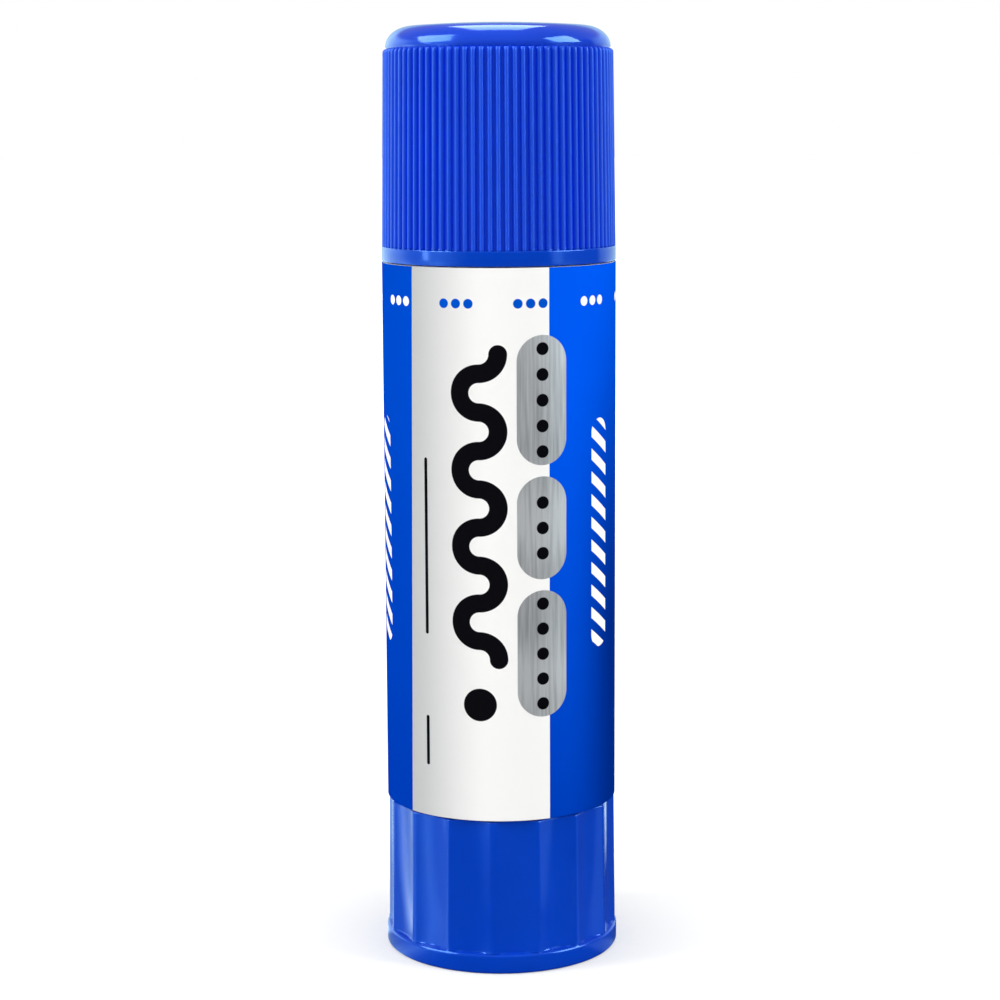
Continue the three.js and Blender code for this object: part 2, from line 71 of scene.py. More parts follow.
def quarter_round(centre_radius, centre_level, width, height, steps, start=0.0):
    """Outline points on a quarter of an ellipse. A start of 0 runs from its side to its top."""
    turns = math.radians(start) + np.linspace(0, math.pi / 2, steps + 1)
    return [(centre_radius + width * math.cos(t), centre_level + height * math.sin(t)) for t in turns]


def top_edge(radius, level, size, steps=EDGE_STEPS):
    """Outline points on a rounded upper edge, from its side to its top."""
    return quarter_round(radius - size, level - size, size, size, steps)


def foot_edge(radius, level, size, steps=EDGE_STEPS):
    """Outline points on a rounded lower edge, from its foot to its side."""
    return quarter_round(radius - size, level + size, size, size, steps, -90)


def bead(radius, foot, width, rise):
    """A soft raised ring on a wall. A negative rise makes a groove."""
    shares = np.linspace(0, 1, BEAD_STEPS + 1)
    return [(radius + rise * math.sin(math.pi * s) ** 2, foot + width * s) for s in shares]


def as_object(name, points, faces):
    """A closed mesh of these points and faces, with its faces turned outwards."""
    mesh = bpy.data.meshes.new(name)
    mesh.from_pydata([tuple(p) for p in points], [], [tuple(f) for f in faces])
    body = bmesh.new()
    body.from_mesh(mesh)
    bmesh.ops.recalc_face_normals(body, faces=body.faces)
    body.to_mesh(mesh)
    body.free()
    piece = bpy.data.objects.new(name, mesh)
    bpy.context.scene.collection.objects.link(piece)
    return piece


def skin(name, rings, ends):
    """A closed skin through rings of points. Its ends join up ("loop"), narrow to points or are flat."""
    rings = np.array(rings)
    count, around = rings.shape[:2]
    numbers = np.arange(count * around).reshape(count, around)
    if ends == "loop":
        numbers = np.vstack([numbers, numbers[:1]])
    if ends == "points":
        numbers = numbers[1:-1]
    lower, upper = numbers[:-1], numbers[1:]
    quads = np.stack([lower, np.roll(lower, -1, 1), np.roll(upper, -1, 1), upper], axis=-1)
    faces = quads.reshape(-1, 4).tolist()
    points = rings.reshape(-1, 3)
    first, last = numbers[0], numbers[-1]
    if ends == "points":
        faces += [(0, second, one) for one, second in zip(first, np.roll(first, -1))]
        tip = count * around - 1
        faces += [(one, second, tip) for one, second in zip(last, np.roll(last, -1))]
        keep = np.unique(np.concatenate([[0, tip], numbers.ravel()]))
        renumbered = np.zeros(len(points), int)
        renumbered[keep] = np.arange(len(keep))
        faces = [tuple(renumbered[list(face)]) for face in faces]
        points = points[keep]
    if ends == "flat":
        faces += [tuple(first[::-1]), tuple(last)]
    return as_object(name, points, faces)


def turned(name, outline, angles, ends="points"):
    """A turned body. Each outline point is a radius, or one for each angle, and a level."""
    rings = []
    for radius, level in outline:
        across = np.broadcast_to(radius, angles.shape)
        level = np.broadcast_to(level, angles.shape)
        rings.append(np.stack([across * np.sin(angles), -across * np.cos(angles), level], axis=-1))
    return skin(name, rings, ends)


def radial_plate(outline, thickness, angle):
    """A plate that stands on edge along a radius. Its outline is radius and level points."""
    out = np.array([math.sin(angle), -math.cos(angle), 0])
    aside = np.array([math.cos(angle), math.sin(angle), 0]) * thickness / 2
    up = np.array([0, 0, 1])
    face = np.array([radius * out + level * up for radius, level in outline])
    return skin("plate", [face - aside, face + aside], "flat")


def plates(count, outline, thickness):
    """Plates at equal angles, half a pitch off the front."""
    return [radial_plate(outline, thickness, (n + 0.5) * FULL_TURN / count) for n in range(count)]


def shaped(piece, operation, tools):
    """Joins tools to a piece or cuts them from it, and leaves one closed mesh."""
    for tool in tools:
        step = piece.modifiers.new("shaping", "BOOLEAN")
        step.operation = operation
        step.solver = "MANIFOLD"
        step.object = tool
        graph = bpy.context.evaluated_depsgraph_get()
        mesh = bpy.data.meshes.new_from_object(piece.evaluated_get(graph))
        piece.modifiers.clear()
        piece.data = mesh
        bpy.data.objects.remove(tool)
    return piece


def placed(piece, node, body, material):
    """Gives a finished piece its real size and surface and its body, and hides the CAD node it stands for.
    """
    mesh = piece.data
    mesh.name = piece.name
    mesh.transform(Matrix.Scale(TO_METRES, 4))
    mesh.materials.clear()
    mesh.materials.append(material)
    mesh.polygons.foreach_set("material_index", [0] * len(mesh.polygons))
    mesh.validate()
    mesh.shade_smooth()
    mesh.set_sharp_from_angle(angle=SHARP_ANGLE)
    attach(piece, body)
    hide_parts(node)


class Sheet:
    """A material's or a group's nodes, laid out as they are added."""

    def __init__(self, tree):
        self.tree = tree
        self.added = 0

    def add(self, kind, **settings):
        node = self.tree.nodes.new(kind)
        node.location = (220 * (self.added % 12), -260 * (self.added // 12))
        self.added += 1
        for name, value in settings.items():
            setattr(node, name, value)
        return node

    def feed(self, socket, value):
        """Links a socket's input to another node, or writes its value."""
        if isinstance(value, bpy.types.NodeSocket):
            self.tree.links.new(value, socket)
        else:
            socket.default_value = value

    def math(self, operation, *values, clamp=False):
        node = self.add("ShaderNodeMath", operation=operation, use_clamp=clamp)
        for socket, value in zip(node.inputs, values):
            self.feed(socket, value)
        return node.outputs[0]

    def spread(self, value, low, high, to_low=0.0, to_high=1.0, smooth=False):
        """Maps a value's range to another, and holds it at the ends."""
        node = self.add("ShaderNodeMapRange")
        node.interpolation_type = "SMOOTHSTEP" if smooth else "LINEAR"
        for socket, number in zip(node.inputs, (value, low, high, to_low, to_high)):
            self.feed(socket, number)
        return node.outputs[0]

    def mix(self, share, first, second):
        node = self.add("ShaderNodeMix", data_type="RGBA")
        self.feed(node.inputs[0], share)
        self.feed(node.inputs[6], first)
        self.feed(node.inputs[7], second)
        return node.outputs[2]

    def noise(self, where, scale, detail=2.0, roughness=0.5):
        node = self.add("ShaderNodeTexNoise")
        self.feed(node.inputs["Vector"], where)
        node.inputs["Scale"].default_value = scale
        node.inputs["Detail"].default_value = detail
        node.inputs["Roughness"].default_value = roughness
        return node.outputs["Fac"]

    def scaled(self, value, factors):
        """A place or a colour, with each of its three parts multiplied by a factor of its own."""
        node = self.add("ShaderNodeVectorMath", operation="MULTIPLY")
        self.feed(node.inputs[0], value)
        node.inputs[1].default_value = factors
        return node.outputs[0]

    def place(self):
        """The place on the object, in millimetres."""
        return self.scaled(self.add("ShaderNodeTexCoord").outputs["Object"], (1 / TO_METRES,) * 3)

    def parts(self, value):
        node = self.add("ShaderNodeSeparateXYZ")
        self.feed(node.inputs[0], value)
        return node.outputs

    def length(self, across, up):
        squares = self.math("ADD", self.math("MULTIPLY", across, across), self.math("MULTIPLY", up, up))
        return self.math("SQRT", squares)

    def bump(self, shader, height, strength, distance):
        """Tilts the shader's normal by the slope of a height."""
        node = self.add("ShaderNodeBump")
        node.inputs["Strength"].default_value = strength
        node.inputs["Distance"].default_value = distance
        self.feed(node.inputs["Height"], height)
        self.feed(shader.inputs["Normal"], node.outputs[0])


def group_with(name, inputs, outputs):
    """An empty node group with named sockets. Returns the group, its sheet, and its ends."""
    tree = bpy.data.node_groups.new(name, "ShaderNodeTree")
    for socket_name, kind, value in inputs:
        socket = tree.interface.new_socket(socket_name, in_out="INPUT", socket_type=kind)
        socket.default_value = value
    for socket_name, kind in outputs:
        tree.interface.new_socket(socket_name, in_out="OUTPUT", socket_type=kind)
    sheet = Sheet(tree)
    return tree, sheet, sheet.add("NodeGroupInput").outputs, sheet.add("NodeGroupOutput").inputs


CLOUD_SCALE = 0.09
HANDLED_BEND = (0.52, 0.62)
WEAR_SCALE = 0.35
WEAR_ROUGHNESS = 0.3
SCUFF_STRETCH = (0.9, 0.9, 0.06)
SCUFF_SCALE = 1.4
SCUFF_ROUGHNESS = 0.07
SCUFF_SHARE = 0.3
GRAIN_SCALE = 9.0
GRAIN_SHARE = 0.25
ORANGE_PEEL_SCALE = 1.1


def moulded_surface():
    """Moulded plastic: faint cloudiness, paler handled edges, fine grain and a few long scuffs."""
    tree, sheet, given, out = group_with(
        "moulded_surface",
        [
            ("Colour", "NodeSocketColor", (0.8, 0.8, 0.8, 1)),
            ("Worn colour", "NodeSocketColor", (0.9, 0.9, 0.9, 1)),
            ("Cloudiness", "NodeSocketFloat", 0.06),
            ("Edge wear", "NodeSocketFloat", 0.3),
            ("Gloss roughness", "NodeSocketFloat", 0.2),
        ],
        [
            ("Colour", "NodeSocketColor"),
            ("Roughness", "NodeSocketFloat"),
            ("Height", "NodeSocketFloat"),
        ],
    )
    place = sheet.place()
    cloud = sheet.noise(place, CLOUD_SCALE, 3.0)
    shade = sheet.spread(cloud, 0.3, 0.7, -1.0, 1.0)
    shade = sheet.math("ADD", sheet.math("MULTIPLY", shade, given["Cloudiness"]), 1.0)
    tinted = sheet.add("ShaderNodeHueSaturation")
    sheet.feed(tinted.inputs["Value"], shade)
    sheet.feed(tinted.inputs["Color"], given["Colour"])
    bend = sheet.add("ShaderNodeNewGeometry").outputs["Pointiness"]
    edges = sheet.spread(bend, *HANDLED_BEND, smooth=True)
    patches = sheet.spread(sheet.noise(place, WEAR_SCALE, 4.0), 0.42, 0.62)
    wear = sheet.math("MULTIPLY", sheet.math("MULTIPLY", edges, patches), given["Edge wear"])
    sheet.feed(out["Colour"], sheet.mix(wear, tinted.outputs[0], given["Worn colour"]))
    scuffs = sheet.noise(sheet.scaled(place, SCUFF_STRETCH), SCUFF_SCALE, 5.0, 0.6)
    scuffs = sheet.spread(scuffs, 0.56, 0.72)
    haze = sheet.spread(cloud, 0.35, 0.65, -0.03, 0.04)
    rough = sheet.math("ADD", given["Gloss roughness"], haze)
    rough = sheet.math("ADD", rough, sheet.math("MULTIPLY", scuffs, SCUFF_ROUGHNESS))
    rubbed = sheet.math("MULTIPLY", wear, WEAR_ROUGHNESS)
    sheet.feed(out["Roughness"], sheet.math("ADD", rough, rubbed, clamp=True))
    grain = sheet.noise(place, GRAIN_SCALE, 2.0)
    orange_peel = sheet.noise(place, ORANGE_PEEL_SCALE, 1.0)
    height = sheet.math("ADD", sheet.math("MULTIPLY", grain, GRAIN_SHARE), orange_peel)
    sheet.feed(out["Height"], sheet.math("SUBTRACT", height, sheet.math("MULTIPLY", scuffs, SCUFF_SHARE)))
    return tree


def new_material(name):
    """A material with its sheet and its Principled shader."""
    material = bpy.data.materials.new(name)
    material.use_nodes = True
    sheet = Sheet(material.node_tree)
    return material, sheet, material.node_tree.nodes["Principled BSDF"]


def moulded_plastic(name, colour, worn, gloss, cloudiness, wear, bump_height, shine=0.5, tint=(1, 1, 1)):
    """A moulded part's material. Shine and tint are the strength and the colour of its reflections."""
    material, sheet, shader = new_material(name)
    surface = sheet.add("ShaderNodeGroup", node_tree=moulded)
    surface.inputs["Colour"].default_value = (*colour, 1)
    surface.inputs["Worn colour"].default_value = (*worn, 1)
    surface.inputs["Cloudiness"].default_value = cloudiness
    surface.inputs["Edge wear"].default_value = wear
    surface.inputs["Gloss roughness"].default_value = gloss
    sheet.bump(shader, surface.outputs["Height"], strength=0.5, distance=bump_height)
    sheet.feed(shader.inputs["Base Color"], surface.outputs["Colour"])
    sheet.feed(shader.inputs["Roughness"], surface.outputs["Roughness"])
    shader.inputs["Specular IOR Level"].default_value = shine
    shader.inputs["Specular Tint"].default_value = (*tint, 1)
    return material


PLASTIC_WHITE = (0.78, 0.79, 0.77)
WORN_WHITE = (0.86, 0.87, 0.86)
moulded = moulded_surface()
white_plastic = moulded_plastic(
    "white_plastic", PLASTIC_WHITE, WORN_WHITE, gloss=0.36, cloudiness=0.03, wear=0.3, bump_height=0.00002
)

spigot_bottom, mouth, barrel_radius = cad_levels("barrel")
label_bottom, label_top, _ = cad_levels("label")
_, knob_height, flange_radius = cad_levels("twist_knob")

KNOB_GAP = 0.2
LABEL_EDGE_GAP = 0.05
barrel_bottom = knob_height + KNOB_GAP
shoulder = label_top + LABEL_EDGE_GAP

BORE_RADIUS = 12.4
NECK_WALL = 0.95
NECK_DRAFT = 0.2
CAP_BEAD_HEIGHT = 0.14
CAP_BEAD_LIFT = 0.7
CAP_BEAD_WIDTH = 0.9
KNOB_BEAD_HEIGHT = 0.35
KNOB_BEAD_LIFT = 1
KNOB_BEAD_WIDTH = 1.3
SPIGOT_RADIUS = 13.03
SPIGOT_WALL = 1.1
LEAD_IN = 0.5
FLOOR_THICKNESS = 1.8
JOURNAL_RADIUS = 4.3
JOURNAL_CLEARANCE = 0.15
MOUTH_EDGE = 0.3
MOULD_EDGE = 0.15
KEY_COUNT = 4
KEY_WIDTH = 1.4
KEY_HEIGHT = 0.6
KEY_TO_MOUTH = 2.5

neck_radius = BORE_RADIUS + NECK_WALL
neck_top = neck_radius - NECK_DRAFT
spigot_bore = SPIGOT_RADIUS - SPIGOT_WALL
floor_top = barrel_bottom + FLOOR_THICKNESS
bearing_radius = JOURNAL_RADIUS + JOURNAL_CLEARANCE

barrel_outline = [
    (spigot_bore, spigot_bottom),
    (SPIGOT_RADIUS - LEAD_IN, spigot_bottom),
    (SPIGOT_RADIUS, spigot_bottom + LEAD_IN),
    *bead(SPIGOT_RADIUS, spigot_bottom + KNOB_BEAD_LIFT, KNOB_BEAD_WIDTH, KNOB_BEAD_HEIGHT),
    (SPIGOT_RADIUS, barrel_bottom - MOULD_EDGE),
    (SPIGOT_RADIUS + MOULD_EDGE, barrel_bottom),
    *foot_edge(barrel_radius, barrel_bottom, MOULD_EDGE),
    *top_edge(barrel_radius, shoulder, MOULD_EDGE),
    (neck_radius + MOULD_EDGE, shoulder),
    (neck_radius, shoulder + MOULD_EDGE),
    *bead(neck_radius, shoulder + CAP_BEAD_LIFT, CAP_BEAD_WIDTH, CAP_BEAD_HEIGHT),
    *top_edge(neck_top, mouth, MOUTH_EDGE),
    (BORE_RADIUS + MOUTH_EDGE, mouth),
    (BORE_RADIUS, mouth - MOUTH_EDGE),
    (BORE_RADIUS, floor_top + MOULD_EDGE),
    (BORE_RADIUS - MOULD_EDGE, floor_top),
    (bearing_radius + MOULD_EDGE, floor_top),
    (bearing_radius, floor_top - MOULD_EDGE),
    (bearing_radius, barrel_bottom + MOULD_EDGE),
    (bearing_radius + MOULD_EDGE, barrel_bottom),
    (spigot_bore, barrel_bottom),
]
key_top = mouth - KEY_TO_MOUTH
key_foot = floor_top - FLOOR_THICKNESS / 2
key_outline = [
    (BORE_RADIUS - KEY_HEIGHT, key_foot),
    (BORE_RADIUS + NECK_WALL / 2, key_foot),
    (BORE_RADIUS + NECK_WALL / 2, key_top),
    (BORE_RADIUS - KEY_HEIGHT, key_top - KEY_HEIGHT),
]
barrel = turned("barrel_tube", barrel_outline, even_angles(AROUND), "loop")
shaped(barrel, "UNION", plates(KEY_COUNT, key_outline, KEY_WIDTH))
placed(barrel, "barrel", "barrel_body", white_plastic)

# Spindle: the white polypropylene lead screw. Its splined foot is pressed into the knob's boss, the collar
# and the small bead hold it in the bearing hole, and its coarse left-hand thread lifts the carrier.

SCREW_LEAD = 6
SCREW_ROOT_RADIUS = 3.1
THREAD_DEPTH = 0.9
THREAD_CREST_WIDTH = 1.4
THREAD_FLANK_WIDTH = 0.8
THREAD_ROUND = 0.12
THREAD_STEPS = 64
SHAFT_AROUND = 128
SCREW_TIP_CHAMFER = 1
END_PLAY = 0.3
RETAINER_BEAD = 0.4
RETAINER_LENGTH = 1
COLLAR_OVERHANG = 1.8
COLLAR_THICKNESS = 1.2
SPLINE_COUNT = 8
SPLINE_RADIUS = 3.5
SPLINE_DEPTH = 0.5
SPLINE_CLEARANCE = 0.12
SPLINE_END_GAP = 0.8
SPLINE_SHARES = [-0.38, -0.3, -0.24, -0.18, 0, 0.18, 0.24, 0.3, 0.38, 0.5]
SPLINE_RISES = [0, 0.4, 0.8, 1, 1, 1, 0.8, 0.4, 0, 0]
BOSS_WALL = 1.6
BOSS_HEIGHT = 9
FOOT_SEAT_GAP = 0.12
OVERCUT = 1

foot_bottom, screw_top, _ = cad_levels("spindle")
knob_floor_top = foot_bottom - SPLINE_END_GAP
screw_crest = SCREW_ROOT_RADIUS + THREAD_DEPTH
socket_radius = SPLINE_RADIUS + SPLINE_CLEARANCE
boss_radius = socket_radius + BOSS_WALL
boss_top = knob_floor_top + BOSS_HEIGHT
foot_top = boss_top + FOOT_SEAT_GAP
collar_radius = JOURNAL_RADIUS + COLLAR_OVERHANG
collar_top = barrel_bottom - END_PLAY
bead_foot = floor_top + END_PLAY
thread_foot = bead_foot + RETAINER_LENGTH


def repeated_angles(repeats, shares, start=0.0):
    """Angles of the same unevenly spaced points in each repeat of a pattern."""
    pitch = FULL_TURN / repeats
    return (start + pitch * np.add.outer(np.arange(repeats), np.array(shares))).ravel()


def splined_bar(low, high, grow):
    """A bar with eight splines. Grow makes it the tool that cuts the socket."""
    root = SPLINE_RADIUS - SPLINE_DEPTH + grow
    angles = repeated_angles(SPLINE_COUNT, SPLINE_SHARES)
    radii = np.tile(root + SPLINE_DEPTH * np.array(SPLINE_RISES), SPLINE_COUNT)
    chamfered = radii - MOULD_EDGE
    outline = [(0, low), (chamfered, low), (radii, low + MOULD_EDGE), (radii, high), (0, high)]
    return turned("splines", outline, angles)


def screw_thread(low, high, grow):
    """A left-hand screw as one strip of skin that winds down the shaft, one pitch of the thread wide."""
    root = SCREW_ROOT_RADIUS + grow
    crest = screw_crest + grow
    crest_half = THREAD_CREST_WIDTH / 2 + grow
    root_half = crest_half + THREAD_FLANK_WIDTH
    half_section = [
        (root, root_half + THREAD_ROUND),
        (root + THREAD_ROUND, root_half - THREAD_ROUND / 2),
        (crest - THREAD_ROUND, crest_half + THREAD_ROUND / 2),
        (crest, crest_half - THREAD_ROUND),
    ]
    section = [(radius, -lift) for radius, lift in half_section] + half_section[::-1]
    first_turn = math.ceil((high - screw_top) / SCREW_LEAD) + 1
    last_turn = math.floor((low - screw_top) / SCREW_LEAD) - 1
    steps = (first_turn - last_turn) * THREAD_STEPS
    wide = len(section)

    def point(step, side):
        radius, lift = section[side % wide]
        turn = step / THREAD_STEPS - (1 if side == wide else 0)
        angle = turn * FULL_TURN
        level = screw_top + (first_turn - turn) * SCREW_LEAD + lift
        return radius * math.sin(angle), -radius * math.cos(angle), level

    points = []
    numbers = {}

    def number(step, side):
        """The strip's upper edge is the lower edge of the turn above, so they share their points."""
        if side == wide:
            step, side = step - THREAD_STEPS, 0
        if (step, side) not in numbers:
            numbers[step, side] = len(points)
            points.append(point(step, side))
        return numbers[step, side]

    faces = []
    for step in range(steps):
        for side in range(wide):
            faces.append((number(step, side), number(step + 1, side),
                          number(step + 1, side + 1), number(step, side + 1)))
    head, foot = len(points), len(points) + 1
    points.append((0, 0, point(0, wide)[2]))
    points.append((0, 0, point(steps, 0)[2]))
    for step in range(THREAD_STEPS):
        faces.append((head, number(step, wide), number(step + 1, wide)))
        faces.append((foot, number(steps - step, 0), number(steps - step - 1, 0)))
    for side in range(wide):
        faces.append((head, number(0, side), number(0, side + 1)))
        faces.append((foot, number(steps, side + 1), number(steps, side)))
    return as_object("thread", points, faces)


def disc(radius, foot):
    """Outline points of a collar's rim, with its edges cut off at a slant."""
    top = foot + COLLAR_THICKNESS
    return [
        (radius - MOULD_EDGE, foot), (radius, foot + MOULD_EDGE),
        (radius, top - MOULD_EDGE), (radius - MOULD_EDGE, top),
    ]


shank_outline = [
    (0, foot_top),
    *disc(boss_radius, foot_top),
    (JOURNAL_RADIUS + MOULD_EDGE, foot_top + COLLAR_THICKNESS),
    (JOURNAL_RADIUS, foot_top + COLLAR_THICKNESS + MOULD_EDGE),
    (JOURNAL_RADIUS, collar_top - COLLAR_THICKNESS - MOULD_EDGE),
    (JOURNAL_RADIUS + MOULD_EDGE, collar_top - COLLAR_THICKNESS),
    *disc(collar_radius, collar_top - COLLAR_THICKNESS),
    (JOURNAL_RADIUS, collar_top),
    (JOURNAL_RADIUS, bead_foot),
    (JOURNAL_RADIUS + RETAINER_BEAD, bead_foot),
    (JOURNAL_RADIUS, thread_foot),
    (0, thread_foot),
]
screw_envelope = [
    (0, bead_foot),
    (screw_crest + OVERCUT, bead_foot),
    (screw_crest + OVERCUT, screw_top - SCREW_TIP_CHAMFER - OVERCUT),
    (SCREW_ROOT_RADIUS - SCREW_TIP_CHAMFER, screw_top),
    (0, screw_top),
]
spindle = turned("spindle_screw", shank_outline, even_angles(SHAFT_AROUND))
screw = screw_thread(bead_foot, screw_top, 0)
shaped(screw, "INTERSECT", [turned("envelope", screw_envelope, even_angles(SHAFT_AROUND))])
shaped(spindle, "UNION", [splined_bar(foot_bottom, foot_top + COLLAR_THICKNESS / 2, 0), screw])
placed(spindle, "spindle", "knob_body", white_plastic)

# Twist knob: a blue polypropylene cup, moulded with sixteen shallow finger flutes above a plain flange.
# It stands on a ring under the flange, snaps over the barrel's spigot and drives the spindle by a
# splined boss, which four webs brace.

FLUTE_COUNT = 16
FLUTE_DEPTH = 0.75
FLUTE_START = math.radians(-4.5)
FLUTE_SHARES = [0, 0.01, 0.02, 0.035, 0.06, 0.1, 0.16, 0.23, 0.31, 0.4]
FLUTE_CREST_SHARE = 0.87
FLANGE_HEIGHT = 2.57
FLANGE_FOOT_ROUND = 0.45
FLANGE_TOP_ROUND = 0.4
LEDGE_FILLET = 0.28
KNOB_TOP_RADIUS = 14.98
KNOB_DRAFT = 0.17
KNOB_TOP_EDGE = 0.2
KNOB_BORE = 13.53
BEAD_CLEARANCE = 0.12
FOOT_RECESS = 1.4
FOOT_RING_WIDTH = 2.2
WEB_COUNT = 4
WEB_TO_SPIGOT = 3.3
WEB_THICKNESS = 1.2
GATE_RADIUS = 2.0
GATE_DEPTH = 0.3
KNOB_WALL = 1
PLASTIC_BLUE = (0.001, 0.050, 0.54)
WORN_BLUE = (0.02, 0.12, 0.75)
BLUE_GLOSS = 0.1
BLUE_BUMP = 0.00001
BLUE_SHINE = 1.0
BLUE_SHEEN = (0.22, 0.45, 1.0)


def flute_rise(angles):
    """How far up from a flute's bottom to its crest the wall is. The crests are slightly rounded."""
    share = np.mod((angles - FLUTE_START) / flute_pitch, 1.0)
    across = np.abs(2 * share - 1)
    blunt = FLUTE_CREST_SHARE
    crest = blunt - (blunt / (1 - blunt)) * (1 - across) ** 2
    return np.where(across < blunt, across ** 2, crest)


def box_outline(inner, outer, low, high):
    return [(inner, low), (outer, low), (outer, high), (inner, high)]


flute_pitch = FULL_TURN / FLUTE_COUNT
flute_shares = FLUTE_SHARES + [0.5] + [1 - share for share in FLUTE_SHARES[:0:-1]]
knob_angles = repeated_angles(FLUTE_COUNT, flute_shares, FLUTE_START)
flutes = FLUTE_DEPTH * (flute_rise(knob_angles) - 1)
knob_foot_radius = KNOB_TOP_RADIUS + KNOB_DRAFT + flutes
knob_top_radius = KNOB_TOP_RADIUS + flutes
ledge_edge = flange_radius - FLANGE_TOP_ROUND
ring_inside = flange_radius - FLANGE_FOOT_ROUND - FOOT_RING_WIDTH
snap_foot = spigot_bottom + KNOB_BEAD_LIFT + KNOB_BEAD_WIDTH + END_PLAY
snap_rise = BEAD_CLEARANCE - (KNOB_BORE - SPIGOT_RADIUS)
wall_top = knob_height - KNOB_TOP_EDGE

flange_top = [
    (np.maximum(radius, knob_foot_radius), level)
    for radius, level in top_edge(flange_radius, FLANGE_HEIGHT, FLANGE_TOP_ROUND)
]
flute_walls = [
    (knob_foot_radius + (knob_top_radius - knob_foot_radius) * share,
     FLANGE_HEIGHT + (wall_top - FLANGE_HEIGHT) * share)
    for share in (0.25, 0.5, 0.75)
]
knob_outline = [
    (0, FOOT_RECESS + GATE_DEPTH / 2),
    (GATE_DEPTH, FOOT_RECESS + GATE_DEPTH / 2),
    (GATE_DEPTH * 1.5, FOOT_RECESS + GATE_DEPTH),
    (GATE_RADIUS - MOULD_EDGE, FOOT_RECESS + GATE_DEPTH),
    (GATE_RADIUS, FOOT_RECESS),
    (ring_inside - 2 * MOULD_EDGE, FOOT_RECESS),
    (ring_inside, FOOT_RECESS - 2 * MOULD_EDGE),
    (ring_inside, MOULD_EDGE),
    (ring_inside + MOULD_EDGE, 0),
    *foot_edge(flange_radius, 0, FLANGE_FOOT_ROUND, 10),
    *flange_top,
    (np.maximum(knob_foot_radius, np.minimum(ledge_edge, knob_foot_radius + LEDGE_FILLET)), FLANGE_HEIGHT),
    (knob_foot_radius + LEDGE_FILLET / 4, FLANGE_HEIGHT + LEDGE_FILLET / 4),
    (knob_foot_radius, FLANGE_HEIGHT + LEDGE_FILLET),
    *flute_walls,
    *[(knob_top_radius - KNOB_TOP_EDGE + inset, level)
      for inset, level in quarter_round(0, wall_top, KNOB_TOP_EDGE, KNOB_TOP_EDGE, EDGE_STEPS)],
    (KNOB_BORE + LEAD_IN / 2, knob_height),
    (KNOB_BORE, knob_height - LEAD_IN),
    *bead(KNOB_BORE, snap_foot, KNOB_BEAD_WIDTH, snap_rise)[::-1],
    (KNOB_BORE, knob_floor_top + 3 * MOULD_EDGE),
    (KNOB_BORE - 3 * MOULD_EDGE, knob_floor_top),
    (boss_radius + 2 * MOULD_EDGE, knob_floor_top),
    (boss_radius, knob_floor_top + 2 * MOULD_EDGE),
    (boss_radius, boss_top - MOULD_EDGE),
    (boss_radius - MOULD_EDGE, boss_top),
    (0, boss_top),
]
web_foot = knob_floor_top - (knob_floor_top - FOOT_RECESS) / 2
web_outline = box_outline(
    socket_radius + BOSS_WALL / 2, KNOB_BORE + KNOB_WALL / 2, web_foot, spigot_bottom - WEB_TO_SPIGOT
)
knob = turned("knob_cup", knob_outline, knob_angles)
shaped(knob, "UNION", plates(WEB_COUNT, web_outline, WEB_THICKNESS))
shaped(knob, "DIFFERENCE", [splined_bar(knob_floor_top, boss_top + OVERCUT, SPLINE_CLEARANCE)])
knob_plastic = moulded_plastic(
    "knob_blue", PLASTIC_BLUE, WORN_BLUE, BLUE_GLOSS, cloudiness=0.05, wear=0.5,
    bump_height=BLUE_BUMP, shine=BLUE_SHINE, tint=BLUE_SHEEN
)
placed(knob, "twist_knob", "knob_body", knob_plastic)

# Glue carrier: a white polypropylene piston. Its cup holds the foot of the glue, a skirt guides it in the
# bore, the nut through its middle runs on the screw, and notches clear the barrel's keys.

CARRIER_WALL = 1.2
CARRIER_FLOOR = 1.5
CUP_DEPTH = 5
SKIRT_DEPTH = 3
THREAD_CLEARANCE = 0.25
NUT_WALL = 1.55
NUT_LENGTH = 8.3
NUT_LIFT = 1.7
KEY_CLEARANCE = 0.25
FIN_COUNT = 4
FIN_HEIGHT = 3
FIN_THICKNESS = 1

carrier_bottom, _, carrier_radius = cad_levels("glue_carrier")
nut_bottom = carrier_bottom + NUT_LIFT
nut_top = nut_bottom + NUT_LENGTH
cup_floor = carrier_bottom + SKIRT_DEPTH + CARRIER_FLOOR
cup_rim = cup_floor + CUP_DEPTH
cup_bore = carrier_radius - CARRIER_WALL
nut_radius = screw_crest + THREAD_CLEARANCE + NUT_WALL


def fin_outline(grow):
    """The outline of a fin from the nut to the cup's wall. Grow makes it the slot in the glue."""
    foot = cup_floor - CARRIER_FLOOR / 2
    top = cup_floor + FIN_HEIGHT + grow
    return box_outline(nut_radius - NUT_WALL / 2, cup_bore + CARRIER_WALL / 4, foot, top)


carrier_outline = [
    (0, carrier_bottom + SKIRT_DEPTH),
    (cup_bore, carrier_bottom + SKIRT_DEPTH),
    (cup_bore, carrier_bottom),
    (carrier_radius - MOULD_EDGE, carrier_bottom),
    (carrier_radius, carrier_bottom + MOULD_EDGE),
    (carrier_radius, cup_rim - MOULD_EDGE),
    (carrier_radius - MOULD_EDGE, cup_rim),
    (cup_bore, cup_rim),
    (cup_bore, cup_floor),
    (0, cup_floor),
]
nut_outline = [
    (0, nut_bottom),
    (nut_radius, nut_bottom),
    (nut_radius, nut_top - MOULD_EDGE),
    (nut_radius - MOULD_EDGE, nut_top),
    (0, nut_top),
]
notch_outline = box_outline(
    BORE_RADIUS - KEY_HEIGHT - KEY_CLEARANCE, BORE_RADIUS + OVERCUT,
    carrier_bottom - OVERCUT, cup_rim + OVERCUT
)
